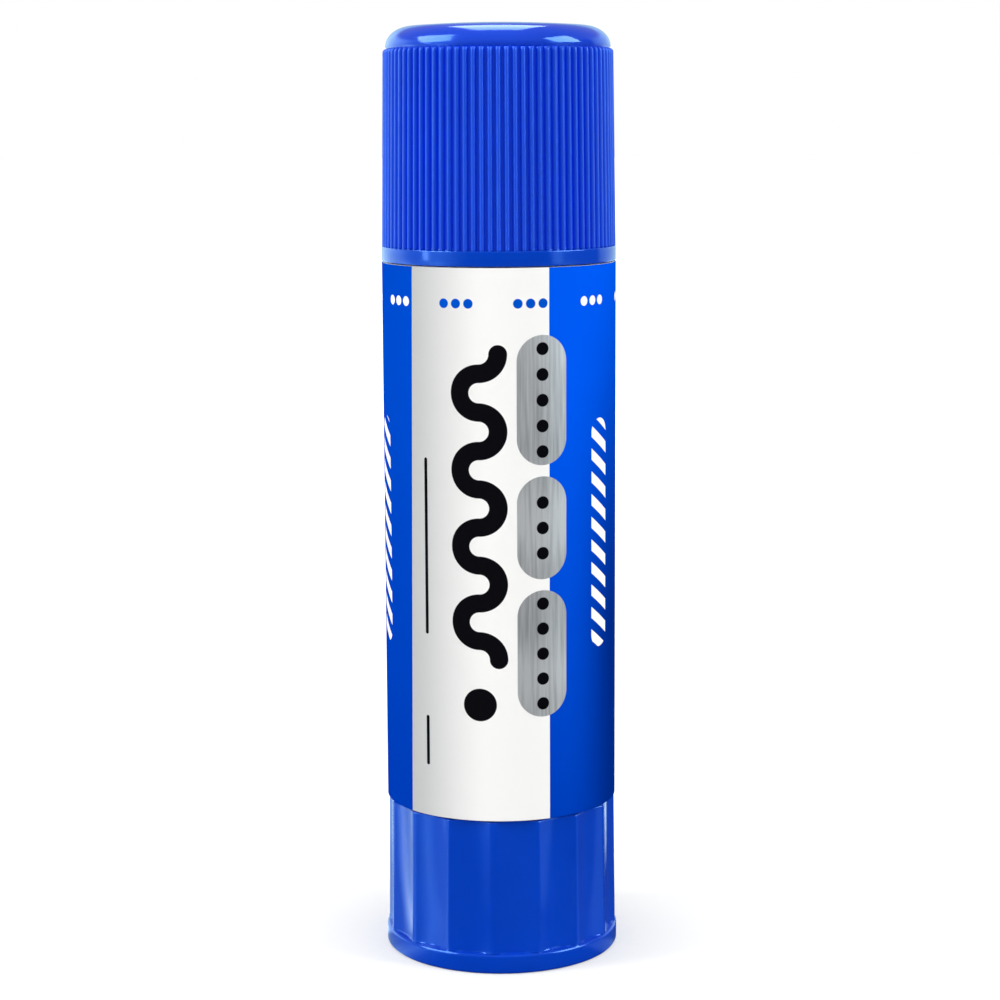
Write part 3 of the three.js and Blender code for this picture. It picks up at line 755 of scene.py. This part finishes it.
thread_zone = [
    (0, nut_bottom - OVERCUT),
    (nut_radius - NUT_WALL / 2, nut_bottom - OVERCUT),
    (nut_radius - NUT_WALL / 2, nut_top + OVERCUT),
    (0, nut_top + OVERCUT),
]
carrier = turned("carrier_piston", carrier_outline, even_angles(AROUND))
nut = turned("nut", nut_outline, even_angles(SHAFT_AROUND))
shaped(carrier, "UNION", [nut, *plates(FIN_COUNT, fin_outline(0), FIN_THICKNESS)])
nut_thread = screw_thread(nut_bottom - OVERCUT, nut_top + OVERCUT, THREAD_CLEARANCE)
shaped(nut_thread, "INTERSECT", [turned("zone", thread_zone, even_angles(SHAFT_AROUND))])
notches = plates(KEY_COUNT, notch_outline, KEY_WIDTH + 2 * KEY_CLEARANCE)
shaped(carrier, "DIFFERENCE", [*notches, nut_thread])
placed(carrier, "glue_carrier", "carrier_body", white_plastic)

# Glue: a firm off-white stick, cast on the carrier and round the screw, with a groove for each key. Its
# end is a little worn and smeared from use.

GLUE_CLEARANCE = 0.1
GLUE_SEAT_GAP = 0.1
GLUE_HOLE_CLEARANCE = 0.3
GLUE_EDGE = 0.6
GLUE_WEAR = 0.22
GLUE_TOP_ROWS = 26
SMEAR_SIZE = 2.6
GLUE_DARK = (0.74, 0.72, 0.62, 1)
GLUE_PALE = (0.83, 0.82, 0.76, 1)

_, glue_top, glue_radius = cad_levels("glue")
glue_bottom = cup_floor + GLUE_SEAT_GAP
glue_hole = screw_crest + GLUE_HOLE_CLEARANCE
glue_angles = even_angles(AROUND)


def worn_level(radius):
    """The worn end, one level for each angle: low waves drawn out in the direction of the last strokes."""
    x = radius * np.sin(glue_angles)
    y = -radius * np.cos(glue_angles)
    smear = [noise.noise((a / SMEAR_SIZE, b / SMEAR_SIZE / 5, 0.5)) for a, b in zip(x, y)]
    fine = [noise.noise((a * 1.9, b * 0.5, 3.5)) for a, b in zip(x, y)]
    wear = 0.5 + 0.4 * np.array(smear) + 0.1 * np.array(fine)
    return glue_top - GLUE_WEAR * np.clip(wear, 0, 1)


top_radii = np.linspace(glue_radius - GLUE_EDGE, glue_hole, GLUE_TOP_ROWS)
glue_outline = [
    (nut_radius + GLUE_SEAT_GAP, glue_bottom),
    (cup_bore - GLUE_SEAT_GAP, glue_bottom),
    (cup_bore - GLUE_SEAT_GAP, cup_rim + GLUE_SEAT_GAP),
    (glue_radius, cup_rim + GLUE_SEAT_GAP),
    *top_edge(glue_radius, glue_top - GLUE_WEAR, GLUE_EDGE, 8)[:-1],
    *[(radius, worn_level(radius)) for radius in top_radii],
    (glue_hole, nut_top + GLUE_SEAT_GAP),
    (nut_radius + GLUE_SEAT_GAP, nut_top + GLUE_SEAT_GAP),
]
groove_outline = box_outline(
    BORE_RADIUS - KEY_HEIGHT - GLUE_CLEARANCE, BORE_RADIUS + OVERCUT, cup_rim, mouth + OVERCUT
)
glue = turned("glue_stick_core", glue_outline, glue_angles, "loop")
grooves = plates(KEY_COUNT, groove_outline, KEY_WIDTH + 2 * GLUE_CLEARANCE)
fin_slots = plates(FIN_COUNT, fin_outline(GLUE_SEAT_GAP), FIN_THICKNESS + 2 * GLUE_SEAT_GAP)
shaped(glue, "DIFFERENCE", [*grooves, *fin_slots])


def glue_paste():
    material, sheet, shader = new_material("glue_paste")
    place = sheet.place()
    clouds = sheet.noise(place, 0.25, 4.0)
    streaks = sheet.noise(sheet.scaled(place, (1, 0.2, 1)), 1.2, 3.0)
    share = sheet.spread(sheet.math("ADD", clouds, streaks), 0.75, 1.25)
    sheet.feed(shader.inputs["Base Color"], sheet.mix(share, GLUE_DARK, GLUE_PALE))
    sheet.feed(shader.inputs["Roughness"], sheet.spread(streaks, 0.3, 0.7, 0.38, 0.62))
    sheet.bump(shader, sheet.math("ADD", streaks, clouds), strength=0.6, distance=0.00012)
    shader.inputs["Subsurface Weight"].default_value = 0.25
    shader.inputs["Subsurface Radius"].default_value = (1.0, 0.9, 0.7)
    shader.inputs["Subsurface Scale"].default_value = 0.0015
    return material


placed(glue, "glue", "carrier_body", glue_paste())

# Label: a printed plastic film, wrapped once round the barrel and lapped over its own start at the back.
# Its print is a white panel on blue, with a trail of ink, silver bars and small marks. Painted light and
# shade are mixed into the panel's and the blue's colours.

LABEL_FILM = 0.12
LABEL_GAP = 0.06
LAP_GAP = 0.03
LAP_DEGREES = 12
LAP_RAMP_DEGREES = 4
LABEL_STEPS = 360

film_inside = barrel_radius + LABEL_GAP
lap_rise = LABEL_FILM + LAP_GAP
lap_start = 180
ramp_end = lap_start + 360 - LAP_RAMP_DEGREES / 4
ramp_start = ramp_end - LAP_RAMP_DEGREES
film_end = lap_start + 360 + LAP_DEGREES


def film_station(degrees):
    """The film's section at one angle, with slightly softened cut edges."""
    ramp = np.clip((degrees - ramp_start) / (ramp_end - ramp_start), 0, 1)
    inner = film_inside + lap_rise * ramp
    outer = inner + LABEL_FILM
    soft = LABEL_FILM / 4
    angle = math.radians(degrees)
    section = [
        (inner, label_bottom), (outer - soft, label_bottom), (outer, label_bottom + soft),
        (outer, label_top - soft), (outer - soft, label_top), (inner, label_top),
    ]
    return [(r * math.sin(angle), -r * math.cos(angle), level) for r, level in section]


stations = np.concatenate([
    np.linspace(lap_start, ramp_start, LABEL_STEPS),
    np.linspace(ramp_start, ramp_end, 6)[1:],
    np.linspace(ramp_end, film_end, 13)[1:],
])
label = skin("label_film", [film_station(degrees) for degrees in stations], "flat")

PANEL_LEFT_TOP = -46.2
PANEL_LEFT_FOOT = -49.6
PANEL_RIGHT = 24.3
INK_EDGE = 0.03
PRINT_WHITE = (0.97, 0.97, 0.97, 1)
# Painted shade: the grey that the white panel fades to at its left
PAINTED_SHADE_GREY = (0.51, 0.52, 0.53, 1)
PRINT_BLACK = (0.004, 0.004, 0.006, 1)
# Silver ink, mixed dark to pale by streaks and by a painted sheen
SILVER_DARK = (0.27, 0.28, 0.30, 1)
SILVER_PALE = (0.58, 0.59, 0.61, 1)
PRINT_BLUE = (0.0, 0.085, 0.62, 1)
# The blue ink in painted light and shade: lit, dim, shaded at the foot and shaded round the far right
PAINTED_LIT_BLUE = (0.0, 0.100, 0.90, 1)
PAINTED_DIM_BLUE = (0.0, 0.062, 0.55, 1)
PAINTED_FOOT_SHADE_BLUE = (0.0, 0.035, 0.40, 1)
PAINTED_FAR_SHADE_BLUE = (0.0, 0.022, 0.24, 1)
# Where the panel's painted shade fades from grey to white, in degrees
PANEL_PAINTED_SHADE = (-50.0, -4.0)
# Where the painted light on the blue is brightest and how it fades, and where the painted far shade comes in
# and goes, in degrees
PAINTED_LIGHT_AT = 36.0
PAINTED_LIGHT_FADE = (12.0, 100.0)
PAINTED_FAR_SHADE_IN = (30.0, 72.0)
PAINTED_FAR_SHADE_OUT = (150.0, 80.0)
TRAIL_AT = -2.6
TRAIL_BEND = 2.4
TRAIL_BENDS = 8
TRAIL_HALF_WIDTH = 1.15
TRAIL_LOW = 41.0
DROP_LEVEL = 35.2
DROP_RADIUS = 2.1
SILVER_AT = 5.4
SILVER_HALF_WIDTH = 3.3
SILVER_BARS = [(73.6, 4.8), (57.6, 3.2), (41.6, 4.8)]
PEARL_PITCH = 3.2
PEARL_RADIUS = 0.8
HATCH_AT = (57.0, -75.0, 165.0)
HATCH_HALF_WIDTH = 1.7
HATCH_LEVEL = 56.0
HATCH_HALF_LENGTH = 13.0
HATCH_PITCH = 2.9
HATCH_SLANT = 0.7
DOT_LEVEL = 85.6
DOT_GROUPS = 10
DOT_GROUP_AT = 15.0
DOT_RADIUS = 0.6
DOT_PITCH = 1.6
RULE_AT = -9.9
RULE_HALF_WIDTH = 0.24
RULES = [(55.0, 11.0), (30.0, 3.0)]


class Print(Sheet):
    """Ink shapes on the label, from the distance round it and the level up it, both in millimetres."""

    def ink(self, distance, reach):
        """1 where a point lies nearer to a shape's line than its reach."""
        return self.spread(distance, reach + INK_EDGE, reach - INK_EDGE)

    def apart(self, value, centre, half=0.0):
        """How far a value is from a stretch of its range."""
        away = self.math("ABSOLUTE", self.math("SUBTRACT", value, centre))
        return self.math("MAXIMUM", self.math("SUBTRACT", away, half), 0.0)

    def bar(self, across, up, centre, level, half_length, half_width):
        """An upright bar with round ends, or a dot where its half length is 0."""
        away = self.length(self.apart(across, centre), self.apart(up, level, half_length))
        return self.ink(away, half_width)

    def repeated(self, value, pitch):
        """How far a value is from the middle of its repeat of a pattern."""
        return self.math("WRAP", value, pitch / 2, -pitch / 2)

    def all_of(self, shapes):
        whole = shapes[0]
        for shape in shapes[1:]:
            whole = self.math("MAXIMUM", whole, shape)
        return whole

    def trail(self, across, up):
        """A line of ink that winds up the label in half circles, with round ends and a drop below it."""
        aside = self.math("SUBTRACT", across, TRAIL_AT)
        climbed = self.math("SUBTRACT", up, TRAIL_LOW)
        on_left = self.math("LESS_THAN", aside, 0.0)
        climb = self.math("SUBTRACT", climbed, self.math("MULTIPLY", on_left, 2 * TRAIL_BEND))
        climb = self.repeated(climb, 4 * TRAIL_BEND)
        from_line = self.math("ABSOLUTE", self.math("SUBTRACT", self.length(aside, climb), TRAIL_BEND))
        half_length = TRAIL_BENDS * TRAIL_BEND
        inside = self.math("LESS_THAN", self.apart(climbed, half_length, half_length), 0.0001)
        line = self.math("MULTIPLY", self.ink(from_line, TRAIL_HALF_WIDTH), inside)
        ends = [self.bar(across, up, TRAIL_AT + TRAIL_BEND, level, 0.0, TRAIL_HALF_WIDTH)
                for level in (TRAIL_LOW, TRAIL_LOW + 2 * half_length)]
        drop = self.bar(across, up, TRAIL_AT, DROP_LEVEL, 0.0, DROP_RADIUS)
        return self.all_of([line, *ends, drop])


def label_print():
    material, sheet, shader = new_material("label_film")
    sheet = Print(material.node_tree)
    place = sheet.place()
    x, y, level = sheet.parts(place)
    turn = sheet.math("ARCTAN2", x, sheet.math("MULTIPLY", y, -1.0))
    degrees = sheet.math("MULTIPLY", turn, 180 / math.pi)
    across = sheet.math("MULTIPLY", turn, film_inside)
    rise = sheet.spread(level, label_bottom, label_top)

    # White panel, with painted shade that greys it towards the left
    panel_left = sheet.spread(rise, 0.0, 1.0, PANEL_LEFT_FOOT, PANEL_LEFT_TOP)
    inside_left = sheet.math("GREATER_THAN", degrees, panel_left)
    inside_right = sheet.math("LESS_THAN", degrees, PANEL_RIGHT)
    on_panel = sheet.math("MULTIPLY", inside_left, inside_right)
    panel = sheet.mix(sheet.spread(degrees, *PANEL_PAINTED_SHADE, smooth=True), PAINTED_SHADE_GREY, PRINT_WHITE)

    # Blue ground with painted light and shade: brightest right of the panel, and painted darker towards its
    # foot and round on the right
    from_painted_light = sheet.math("ABSOLUTE", sheet.math("SUBTRACT", degrees, PAINTED_LIGHT_AT))
    ground = sheet.mix(sheet.spread(from_painted_light, *PAINTED_LIGHT_FADE, smooth=True), PAINTED_LIT_BLUE, PAINTED_DIM_BLUE)
    low = sheet.spread(rise, 0.8, 0.0)
    ground = sheet.mix(sheet.math("MULTIPLY", low, 0.8), ground, PAINTED_FOOT_SHADE_BLUE)
    far = sheet.math("MULTIPLY", sheet.spread(rise, 1.0, 0.35), sheet.spread(degrees, *PAINTED_FAR_SHADE_IN, smooth=True))
    far = sheet.math("MULTIPLY", far, sheet.spread(degrees, *PAINTED_FAR_SHADE_OUT, smooth=True))
    ground = sheet.mix(far, ground, PAINTED_FAR_SHADE_BLUE)
    colour = sheet.mix(on_panel, ground, panel)

    # White hatched columns on the blue
    slant = sheet.math("ADD", level, sheet.math("MULTIPLY", across, HATCH_SLANT))
    from_stroke = sheet.math("ABSOLUTE", sheet.repeated(slant, HATCH_PITCH))
    stroke = sheet.ink(from_stroke, HATCH_PITCH / 4)
    columns_at = [math.radians(at) * film_inside for at in HATCH_AT]
    columns = [
        sheet.bar(across, level, at, HATCH_LEVEL, HATCH_HALF_LENGTH, HATCH_HALF_WIDTH)
        for at in columns_at
    ]
    colour = sheet.mix(sheet.math("MULTIPLY", stroke, sheet.all_of(columns)), colour, PRINT_WHITE)

    # Three dots in a row, again and again round the top: blue on white and white on blue
    group_pitch = FULL_TURN / DOT_GROUPS * film_inside
    group_at = math.radians(DOT_GROUP_AT) * film_inside
    from_group = sheet.repeated(sheet.math("SUBTRACT", across, group_at), group_pitch)
    dots = sheet.all_of([
        sheet.bar(from_group, level, n * DOT_PITCH, DOT_LEVEL, 0.0, DOT_RADIUS)
        for n in (-1, 0, 1)
    ])
    colour = sheet.mix(dots, colour, sheet.mix(on_panel, PRINT_WHITE, PRINT_BLUE))

    # Silver bars over the panel's right edge, with a row of black pearls in each. Their silver goes from
    # dark to pale by fine upright streaks and a broad painted sheen
    silver = sheet.all_of([
        sheet.bar(across, level, SILVER_AT, at, half, SILVER_HALF_WIDTH)
        for at, half in SILVER_BARS
    ])
    streaks = sheet.noise(sheet.scaled(place, (3.0, 3.0, 0.12)), 1.0, 3.0)
    # Painted sheen: a broad, slow change of the silver's colour that stands in for its reflection
    painted_sheen = sheet.noise(sheet.scaled(place, (0.2, 0.2, 1.0)), 0.06, 1.0)
    streaks_and_painted_sheen = sheet.spread(sheet.math("ADD", streaks, sheet.math("MULTIPLY", painted_sheen, 2.0)), 1.2, 1.8)
    colour = sheet.mix(silver, colour, sheet.mix(streaks_and_painted_sheen, SILVER_DARK, SILVER_PALE))
    pearl = sheet.bar(across, sheet.repeated(level, PEARL_PITCH), SILVER_AT, 0.0, 0.0, PEARL_RADIUS)
    stretch = sheet.all_of([
        sheet.ink(sheet.apart(level, at), half + 0.75 * PEARL_PITCH)
        for at, half in SILVER_BARS
    ])
    black = [sheet.math("MULTIPLY", pearl, stretch), sheet.trail(across, level)]
    black += [sheet.bar(across, level, RULE_AT, at, half, RULE_HALF_WIDTH) for at, half in RULES]
    colour = sheet.mix(sheet.all_of(black), colour, PRINT_BLACK)

    sheet.feed(shader.inputs["Base Color"], colour)
    cloud = sheet.noise(place, 0.12, 3.0)
    rough = sheet.spread(cloud, 0.3, 0.7, 0.42, 0.52)
    rough = sheet.math("SUBTRACT", rough, sheet.math("MULTIPLY", silver, 0.12))
    sheet.feed(shader.inputs["Roughness"], rough)
    sheet.feed(shader.inputs["Metallic"], sheet.math("MULTIPLY", silver, 0.35))
    ripple = sheet.noise(sheet.scaled(place, (1, 1, 0.3)), 0.5, 2.0)
    sheet.bump(shader, ripple, strength=0.4, distance=0.00002)
    shader.inputs["Specular IOR Level"].default_value = 0.0
    return material


placed(label, "label", "barrel_body", label_print())

# Cap: a blue polypropylene cup that pushes on over the neck and clicks on its bead. Eighty-eight fine
# ribs run up its side from a smooth lip, and its top rounds over into a low crown.

RIB_COUNT = 88
RIB_DEPTH = 0.5
RIB_SHARES = [-0.43, -0.37, -0.34, -0.29, -0.22, -0.12, 0, 0.12, 0.22, 0.29, 0.34, 0.37, 0.43]
RIB_FOOT_SHARE = 0.37
RIB_FULLNESS = 2.6
RIB_VALLEY = 14.45
RIB_TO_CORNER = 0.25
RIB_HEAD = 0.45
RIB_FOOT_FILLET = 0.14
RIB_FOOT_SAG = 0.04
CAP_DRAFT = 0.35
DOME_PROUD = 0.15
CAP_CLEARANCE = 0.25
CAP_BORE_DRAFT = 0.33
LIP_HEIGHT = 1.75
LIP_EDGE = 0.15
LIP_HANG = 0.13
LIP_TOP_EDGE = 0.15
CAP_CEILING = 2.0
CEILING_CORNER = 1.6
CROWN_CORNER_WIDTH = 3.4
CROWN_CORNER_HEIGHT = 2.6
CROWN_RISE = 0.4
CORNER_STEPS = 14
# Painted light and shade on the cap: the grooves' deeper blue, the crests' paler blue and the crown's
# brighter blue
GROOVE_PAINTED_SHADE_BLUE = (0.001, 0.046, 0.76, 1)
CREST_PAINTED_LIGHT_BLUE = (0.007, 0.060, 0.68, 1)
CROWN_PAINTED_LIGHT_BLUE = (0.009, 0.052, 0.62, 1)
RIB_ROUGHNESS = 0.34
BLUE_BLEND = 0.1

cap_bottom, cap_top, lip_radius = cad_levels("cap")
lip_top = cap_bottom + LIP_HEIGHT
lip_bottom = cap_bottom - LIP_HANG
corner_foot = cap_top - CROWN_RISE - CROWN_CORNER_HEIGHT
rib_top = corner_foot - RIB_TO_CORNER
dome_radius = RIB_VALLEY - CAP_DRAFT + DOME_PROUD
corner_centre = dome_radius - CROWN_CORNER_WIDTH
cap_bore = neck_radius + CAP_CLEARANCE
cap_ceiling = cap_top - CAP_CEILING
ceiling_edge = cap_bore - CAP_BORE_DRAFT - CEILING_CORNER

cap_angles = repeated_angles(RIB_COUNT, RIB_SHARES)
rib_profile = np.clip(1 - (np.abs(np.array(RIB_SHARES)) / RIB_FOOT_SHARE) ** RIB_FULLNESS, 0, 1)
ribs = np.tile(RIB_DEPTH * rib_profile, RIB_COUNT)


def rib_side(level, share=1.0):
    """The ribbed side's radius all round at one level."""
    up = (level - lip_top) / (rib_top - lip_top)
    return RIB_VALLEY - CAP_DRAFT * up + share * ribs


crown = [
    (radius, cap_top - CROWN_RISE * (radius / corner_centre) ** 2)
    for radius in np.linspace(0, corner_centre, 7)
]
rib_heads = [
    (rib_side(rib_top - RIB_HEAD * (1 - math.cos(t)), math.sin(t)), rib_top - RIB_HEAD * (1 - math.cos(t)))
    for t in np.linspace(0, math.pi / 2, 6)
]
rib_feet = [
    (rib_side(lip_top), lip_top + RIB_FOOT_FILLET),
    (np.maximum(rib_side(lip_top), RIB_VALLEY + RIB_FOOT_SAG), lip_top + RIB_FOOT_SAG),
    (np.maximum(rib_side(lip_top), RIB_VALLEY + RIB_FOOT_FILLET), lip_top),
]
lip_shoulder = [
    (np.maximum(rib_side(lip_top), radius), level)
    for radius, level in top_edge(lip_radius, lip_top, LIP_TOP_EDGE)[::-1]
]
crown_corner = quarter_round(
    corner_centre, corner_foot, CROWN_CORNER_WIDTH, CROWN_CORNER_HEIGHT, CORNER_STEPS
)
cap_outline = [
    *crown,
    *crown_corner[-2::-1],
    *rib_heads,
    *[(rib_side(level), level) for level in np.linspace(rib_top - 0.8, lip_top + 0.6, 4)],
    *rib_feet,
    *lip_shoulder,
    *foot_edge(lip_radius, lip_bottom, LIP_EDGE)[::-1],
    (cap_bore + LIP_EDGE, lip_bottom),
    (cap_bore, lip_bottom + LIP_EDGE),
    *bead(cap_bore, shoulder + CAP_BEAD_LIFT, CAP_BEAD_WIDTH, BEAD_CLEARANCE),
    *top_edge(cap_bore - CAP_BORE_DRAFT, cap_ceiling, CEILING_CORNER, 8),
    (ceiling_edge / 2, cap_ceiling),
    (0, cap_ceiling),
]
cap = turned("cap_cup", cap_outline, cap_angles)


def cap_plastic():
    """The knob's plastic, with painted light: a brighter blue on the ribs and the crown, paler crests and
    deeper blue grooves. The ribs are satin.
    """
    material = moulded_plastic(
        "cap_blue", PLASTIC_BLUE, WORN_BLUE, BLUE_GLOSS, cloudiness=0.04, wear=0.4,
        bump_height=BLUE_BUMP, shine=BLUE_SHINE, tint=BLUE_SHEEN
    )
    sheet = Sheet(material.node_tree)
    x, y, level = sheet.parts(sheet.place())
    # Painted light: paler crests, deeper blue grooves and a brighter crown, over the lip's plain blue
    drafted = sheet.spread(level, lip_top, rib_top, 0.0, CAP_DRAFT)
    rise = sheet.math("SUBTRACT", sheet.math("ADD", sheet.length(x, y), drafted), RIB_VALLEY)
    crest = sheet.spread(rise, 0.25 * RIB_DEPTH, 0.8 * RIB_DEPTH, smooth=True)
    crown_painted_light_mask = sheet.spread(level, rib_top - BLUE_BLEND, rib_top + BLUE_BLEND)
    above_lip = sheet.spread(level, lip_top, lip_top + 2 * BLUE_BLEND)
    below_crown = sheet.spread(level, rib_top + BLUE_BLEND, rib_top - BLUE_BLEND)
    ribbed = sheet.math("MULTIPLY", above_lip, below_crown)
    plain = sheet.mix(crown_painted_light_mask, (*PLASTIC_BLUE, 1), CROWN_PAINTED_LIGHT_BLUE)
    colour = sheet.mix(ribbed, plain, sheet.mix(crest, GROOVE_PAINTED_SHADE_BLUE, CREST_PAINTED_LIGHT_BLUE))
    surface = next(node for node in material.node_tree.nodes if node.type == "GROUP")
    sheet.feed(surface.inputs["Colour"], colour)
    satin = sheet.math("MULTIPLY", ribbed, RIB_ROUGHNESS)
    shader = material.node_tree.nodes["Principled BSDF"]
    sheet.feed(shader.inputs["Roughness"], sheet.math("MAXIMUM", surface.outputs["Roughness"], satin))
    return material


placed(cap, "cap", "cap_body", cap_plastic())

# Setting: a pale seamless floor, which keeps the stick's soft shadow and looks white as a backdrop does.
# In reflections the floor and the room are pale behind the stick and at its sides, and dim in front.

FLOOR_HALF = 6.0
MIRROR_TINT = (0.62, 0.92, 1.0)
MIRROR_TOP = 4.0
FLOOR_MIRRORED = [
    (-180, 0.8), (-162, 1.9), (-148, 1.7), (-130, 0.8), (-117, 1.1), (-104, 2.4), (-92, 0.5), (-76, 0.6),
    (-62, 1.5), (-50, 0.4), (-36, 0.05), (60, 0.05), (66, 0.5), (78, 0.5), (85, 0.1), (134, 0.05),
    (142, 2.2), (155, 1.8), (180, 0.8)]
ROOM_MIRRORED = [
    (-180, 0.7), (-168, 1.1), (-158, 1.9), (-140, 2.2), (-114, 1.9), (-97, 0.9), (-86, 0.8), (-62, 1.6),
    (-52, 1.2), (-44, 0.7), (-30, 0.1), (0, 0.03), (50, 0.05), (57, 1.8), (61, 1.8), (67, 0.5), (85, 0.2),
    (112, 0.05), (118, 0.9), (135, 1.3), (150, 1.4), (168, 1.1), (180, 0.7)]
FAR_FLOOR = 0.62
NEAR_TO_FAR = (0.3, 0.8)
FLOOR_TONE = (0.60, 0.62)
FLOOR_WARMTH = (1.0, 1.0, 0.95)
CONTACT_SHADE = (0.015, 0.027)
FLOOR_FADE = (0.027, 0.45)
floor_mesh = bpy.data.meshes.new("floor")
floor_mesh.from_pydata(
    [(-FLOOR_HALF, -FLOOR_HALF, 0), (FLOOR_HALF, -FLOOR_HALF, 0), (FLOOR_HALF, FLOOR_HALF, 0),
     (-FLOOR_HALF, FLOOR_HALF, 0)], [], [(0, 1, 2, 3)])
floor = bpy.data.objects.new("floor", floor_mesh)
bpy.context.scene.collection.objects.link(floor)


def seen_rays(sheet):
    """1 for what the camera sees, straight, mirrored or through something clear."""
    path = sheet.add("ShaderNodeLightPath").outputs
    seen = sheet.math("MAXIMUM", path["Is Camera Ray"], path["Is Glossy Ray"])
    return sheet.math("MAXIMUM", seen, path["Is Transmission Ray"])


def mirrored(sheet, where, stops, level=1.0):
    """The colour of the room in a mirrored direction, by its angle round the stick. White for other rays."""
    x, y, _ = sheet.parts(where)
    turn = sheet.math("ARCTAN2", x, sheet.math("MULTIPLY", y, -1.0))
    ramp = sheet.add("ShaderNodeValToRGB")
    sheet.feed(ramp.inputs[0], sheet.spread(turn, -math.pi, math.pi))
    marks = ramp.color_ramp.elements
    for degrees, brightness in stops:
        at_end = abs(degrees) == 180
        mark = marks[0 if degrees < 0 else -1] if at_end else marks.new(degrees / 360 + 0.5)
        mark.color = (*[brightness / MIRROR_TOP * tint for tint in MIRROR_TINT], 1)
    room_colour = sheet.scaled(ramp.outputs[0], (MIRROR_TOP * level,) * 3)
    glossy = sheet.add("ShaderNodeLightPath").outputs["Is Glossy Ray"]
    return sheet.mix(glossy, (1, 1, 1, 1), room_colour)


def floor_card():
    """A matt pale card. It is shadowed near the stick, and glows to white for the camera farther out."""
    material, sheet, shader = new_material("floor_card")
    place = sheet.add("ShaderNodeTexCoord").outputs["Object"]
    distance = sheet.add("ShaderNodeVectorMath", operation="LENGTH")
    sheet.feed(distance.inputs[0], place)
    away = distance.outputs["Value"]
    near = mirrored(sheet, place, FLOOR_MIRRORED)
    far = mirrored(sheet, place, ROOM_MIRRORED, FAR_FLOOR)
    share = sheet.mix(sheet.spread(away, *NEAR_TO_FAR), near, far)
    grain = sheet.spread(sheet.noise(place, 900.0, 2.0), 0.3, 0.7, *FLOOR_TONE)
    tone = sheet.add("ShaderNodeVectorMath", operation="SCALE")
    sheet.feed(tone.inputs[0], sheet.scaled(share, FLOOR_WARMTH))
    sheet.feed(tone.inputs["Scale"], grain)
    limited = sheet.add("ShaderNodeVectorMath", operation="MINIMUM")
    sheet.feed(limited.inputs[0], tone.outputs[0])
    limited.inputs[1].default_value = (0.9, 0.9, 0.9)
    sheet.feed(shader.inputs["Base Color"], limited.outputs[0])
    shader.inputs["Roughness"].default_value = 0.9
    shader.inputs["Specular IOR Level"].default_value = 0.0
    sheet.feed(shader.inputs["Emission Color"], share)
    glow = sheet.spread(away, *CONTACT_SHADE, 0.36, 0.46)
    glow = sheet.math("ADD", glow, sheet.spread(away, *FLOOR_FADE, 0.0, 0.54))
    sheet.feed(shader.inputs["Emission Strength"], sheet.math("MULTIPLY", seen_rays(sheet), glow))
    return material


floor_mesh.materials.append(floor_card())

# Light: an even pale room and three soft lamps light the stick. Reflections see a room with bright and
# dim sides instead, and windows that light nothing else: one on each side, one above and a low strip.

MIRROR_HORIZON = (0.3, 0.45)
MIRROR_CEILING = (0.38, 0.4, 0.45, 1)
AMBIENT = (0.66, 0.66, 0.66, 1)
WINDOW_LIGHT = (0.75, 0.92, 1.0)
AIM = Vector((0, 0, 0.065))
LAMP_DISTANCE = 0.9

world = bpy.data.worlds.new("studio")
bpy.context.scene.world = world
world.use_nodes = True
room = Sheet(world.node_tree)
sight = room.add("ShaderNodeTexCoord").outputs["Generated"]
height = room.spread(room.parts(sight)[2], *MIRROR_HORIZON, smooth=True)
backdrop = room.mix(height, mirrored(room, sight, ROOM_MIRRORED), MIRROR_CEILING)
surroundings = room.mix(seen_rays(room), AMBIENT, backdrop)
room.feed(world.node_tree.nodes["Background"].inputs["Color"], surroundings)


def soft_box(name, azimuth, elevation, width, height, watts, lean=0.0, distance=LAMP_DISTANCE):
    """A rectangular lamp that faces the stick, leaning sideways by some degrees. Azimuth 90 is right."""
    lamp = bpy.data.lights.new(name, "AREA")
    lamp.shape = "RECTANGLE"
    lamp.size = width
    lamp.size_y = height
    lamp.energy = watts
    box = bpy.data.objects.new(name, lamp)
    bpy.context.scene.collection.objects.link(box)
    across, up = math.radians(azimuth), math.radians(elevation)
    away = Vector((math.sin(across) * math.cos(up), -math.cos(across) * math.cos(up), math.sin(up)))
    box.location = AIM + away * distance
    facing = away.to_track_quat("Z", "Y").to_matrix()
    box.rotation_euler = (facing @ Matrix.Rotation(math.radians(lean), 3, "Z")).to_euler()
    return box


for lamp in (
    soft_box("left_lamp", -74, 26, 0.26, 0.36, 4.0),
    soft_box("right_lamp", 68, 26, 0.2, 0.3, 3.0),
    soft_box("top_lamp", 10, 74, 0.8, 0.8, 3.2, distance=1.2),
):
    lamp.visible_glossy = False
for window in (
    soft_box("left_window", -75.5, 34.9, 0.55, 0.59, 9.8, lean=31.6),
    soft_box("right_window", 74.7, 26.4, 0.51, 0.53, 8.9, lean=11.5),
    soft_box("top_window", 180, 67, 0.36, 0.6, 5.0),
    soft_box("left_strip", -75, 1, 0.12, 0.16, 0.3),
):
    window.visible_diffuse = False
    window.data.color = WINDOW_LIGHT

# Camera: at the photograph's height and distance, looking slightly down at the stick.

CAMERA_PLACE = (0.0, -0.3181, 0.1085)
CAMERA_DOWN = 8.85
CAMERA_ROLL = -0.27
FOCAL_PIXELS = 2474.5
IMAGE_PIXELS = 1000
camera_data = bpy.data.cameras.new("camera")
camera_data.sensor_width = 36
camera_data.lens = FOCAL_PIXELS * camera_data.sensor_width / IMAGE_PIXELS
camera = bpy.data.objects.new("camera", camera_data)
bpy.context.scene.collection.objects.link(camera)
camera.location = CAMERA_PLACE
look = Matrix.Rotation(math.radians(90 - CAMERA_DOWN), 4, "X")
camera.rotation_euler = (look @ Matrix.Rotation(math.radians(CAMERA_ROLL), 4, "Z")).to_euler()
bpy.context.scene.camera = camera
bpy.context.scene.view_settings.view_transform = "Standard"
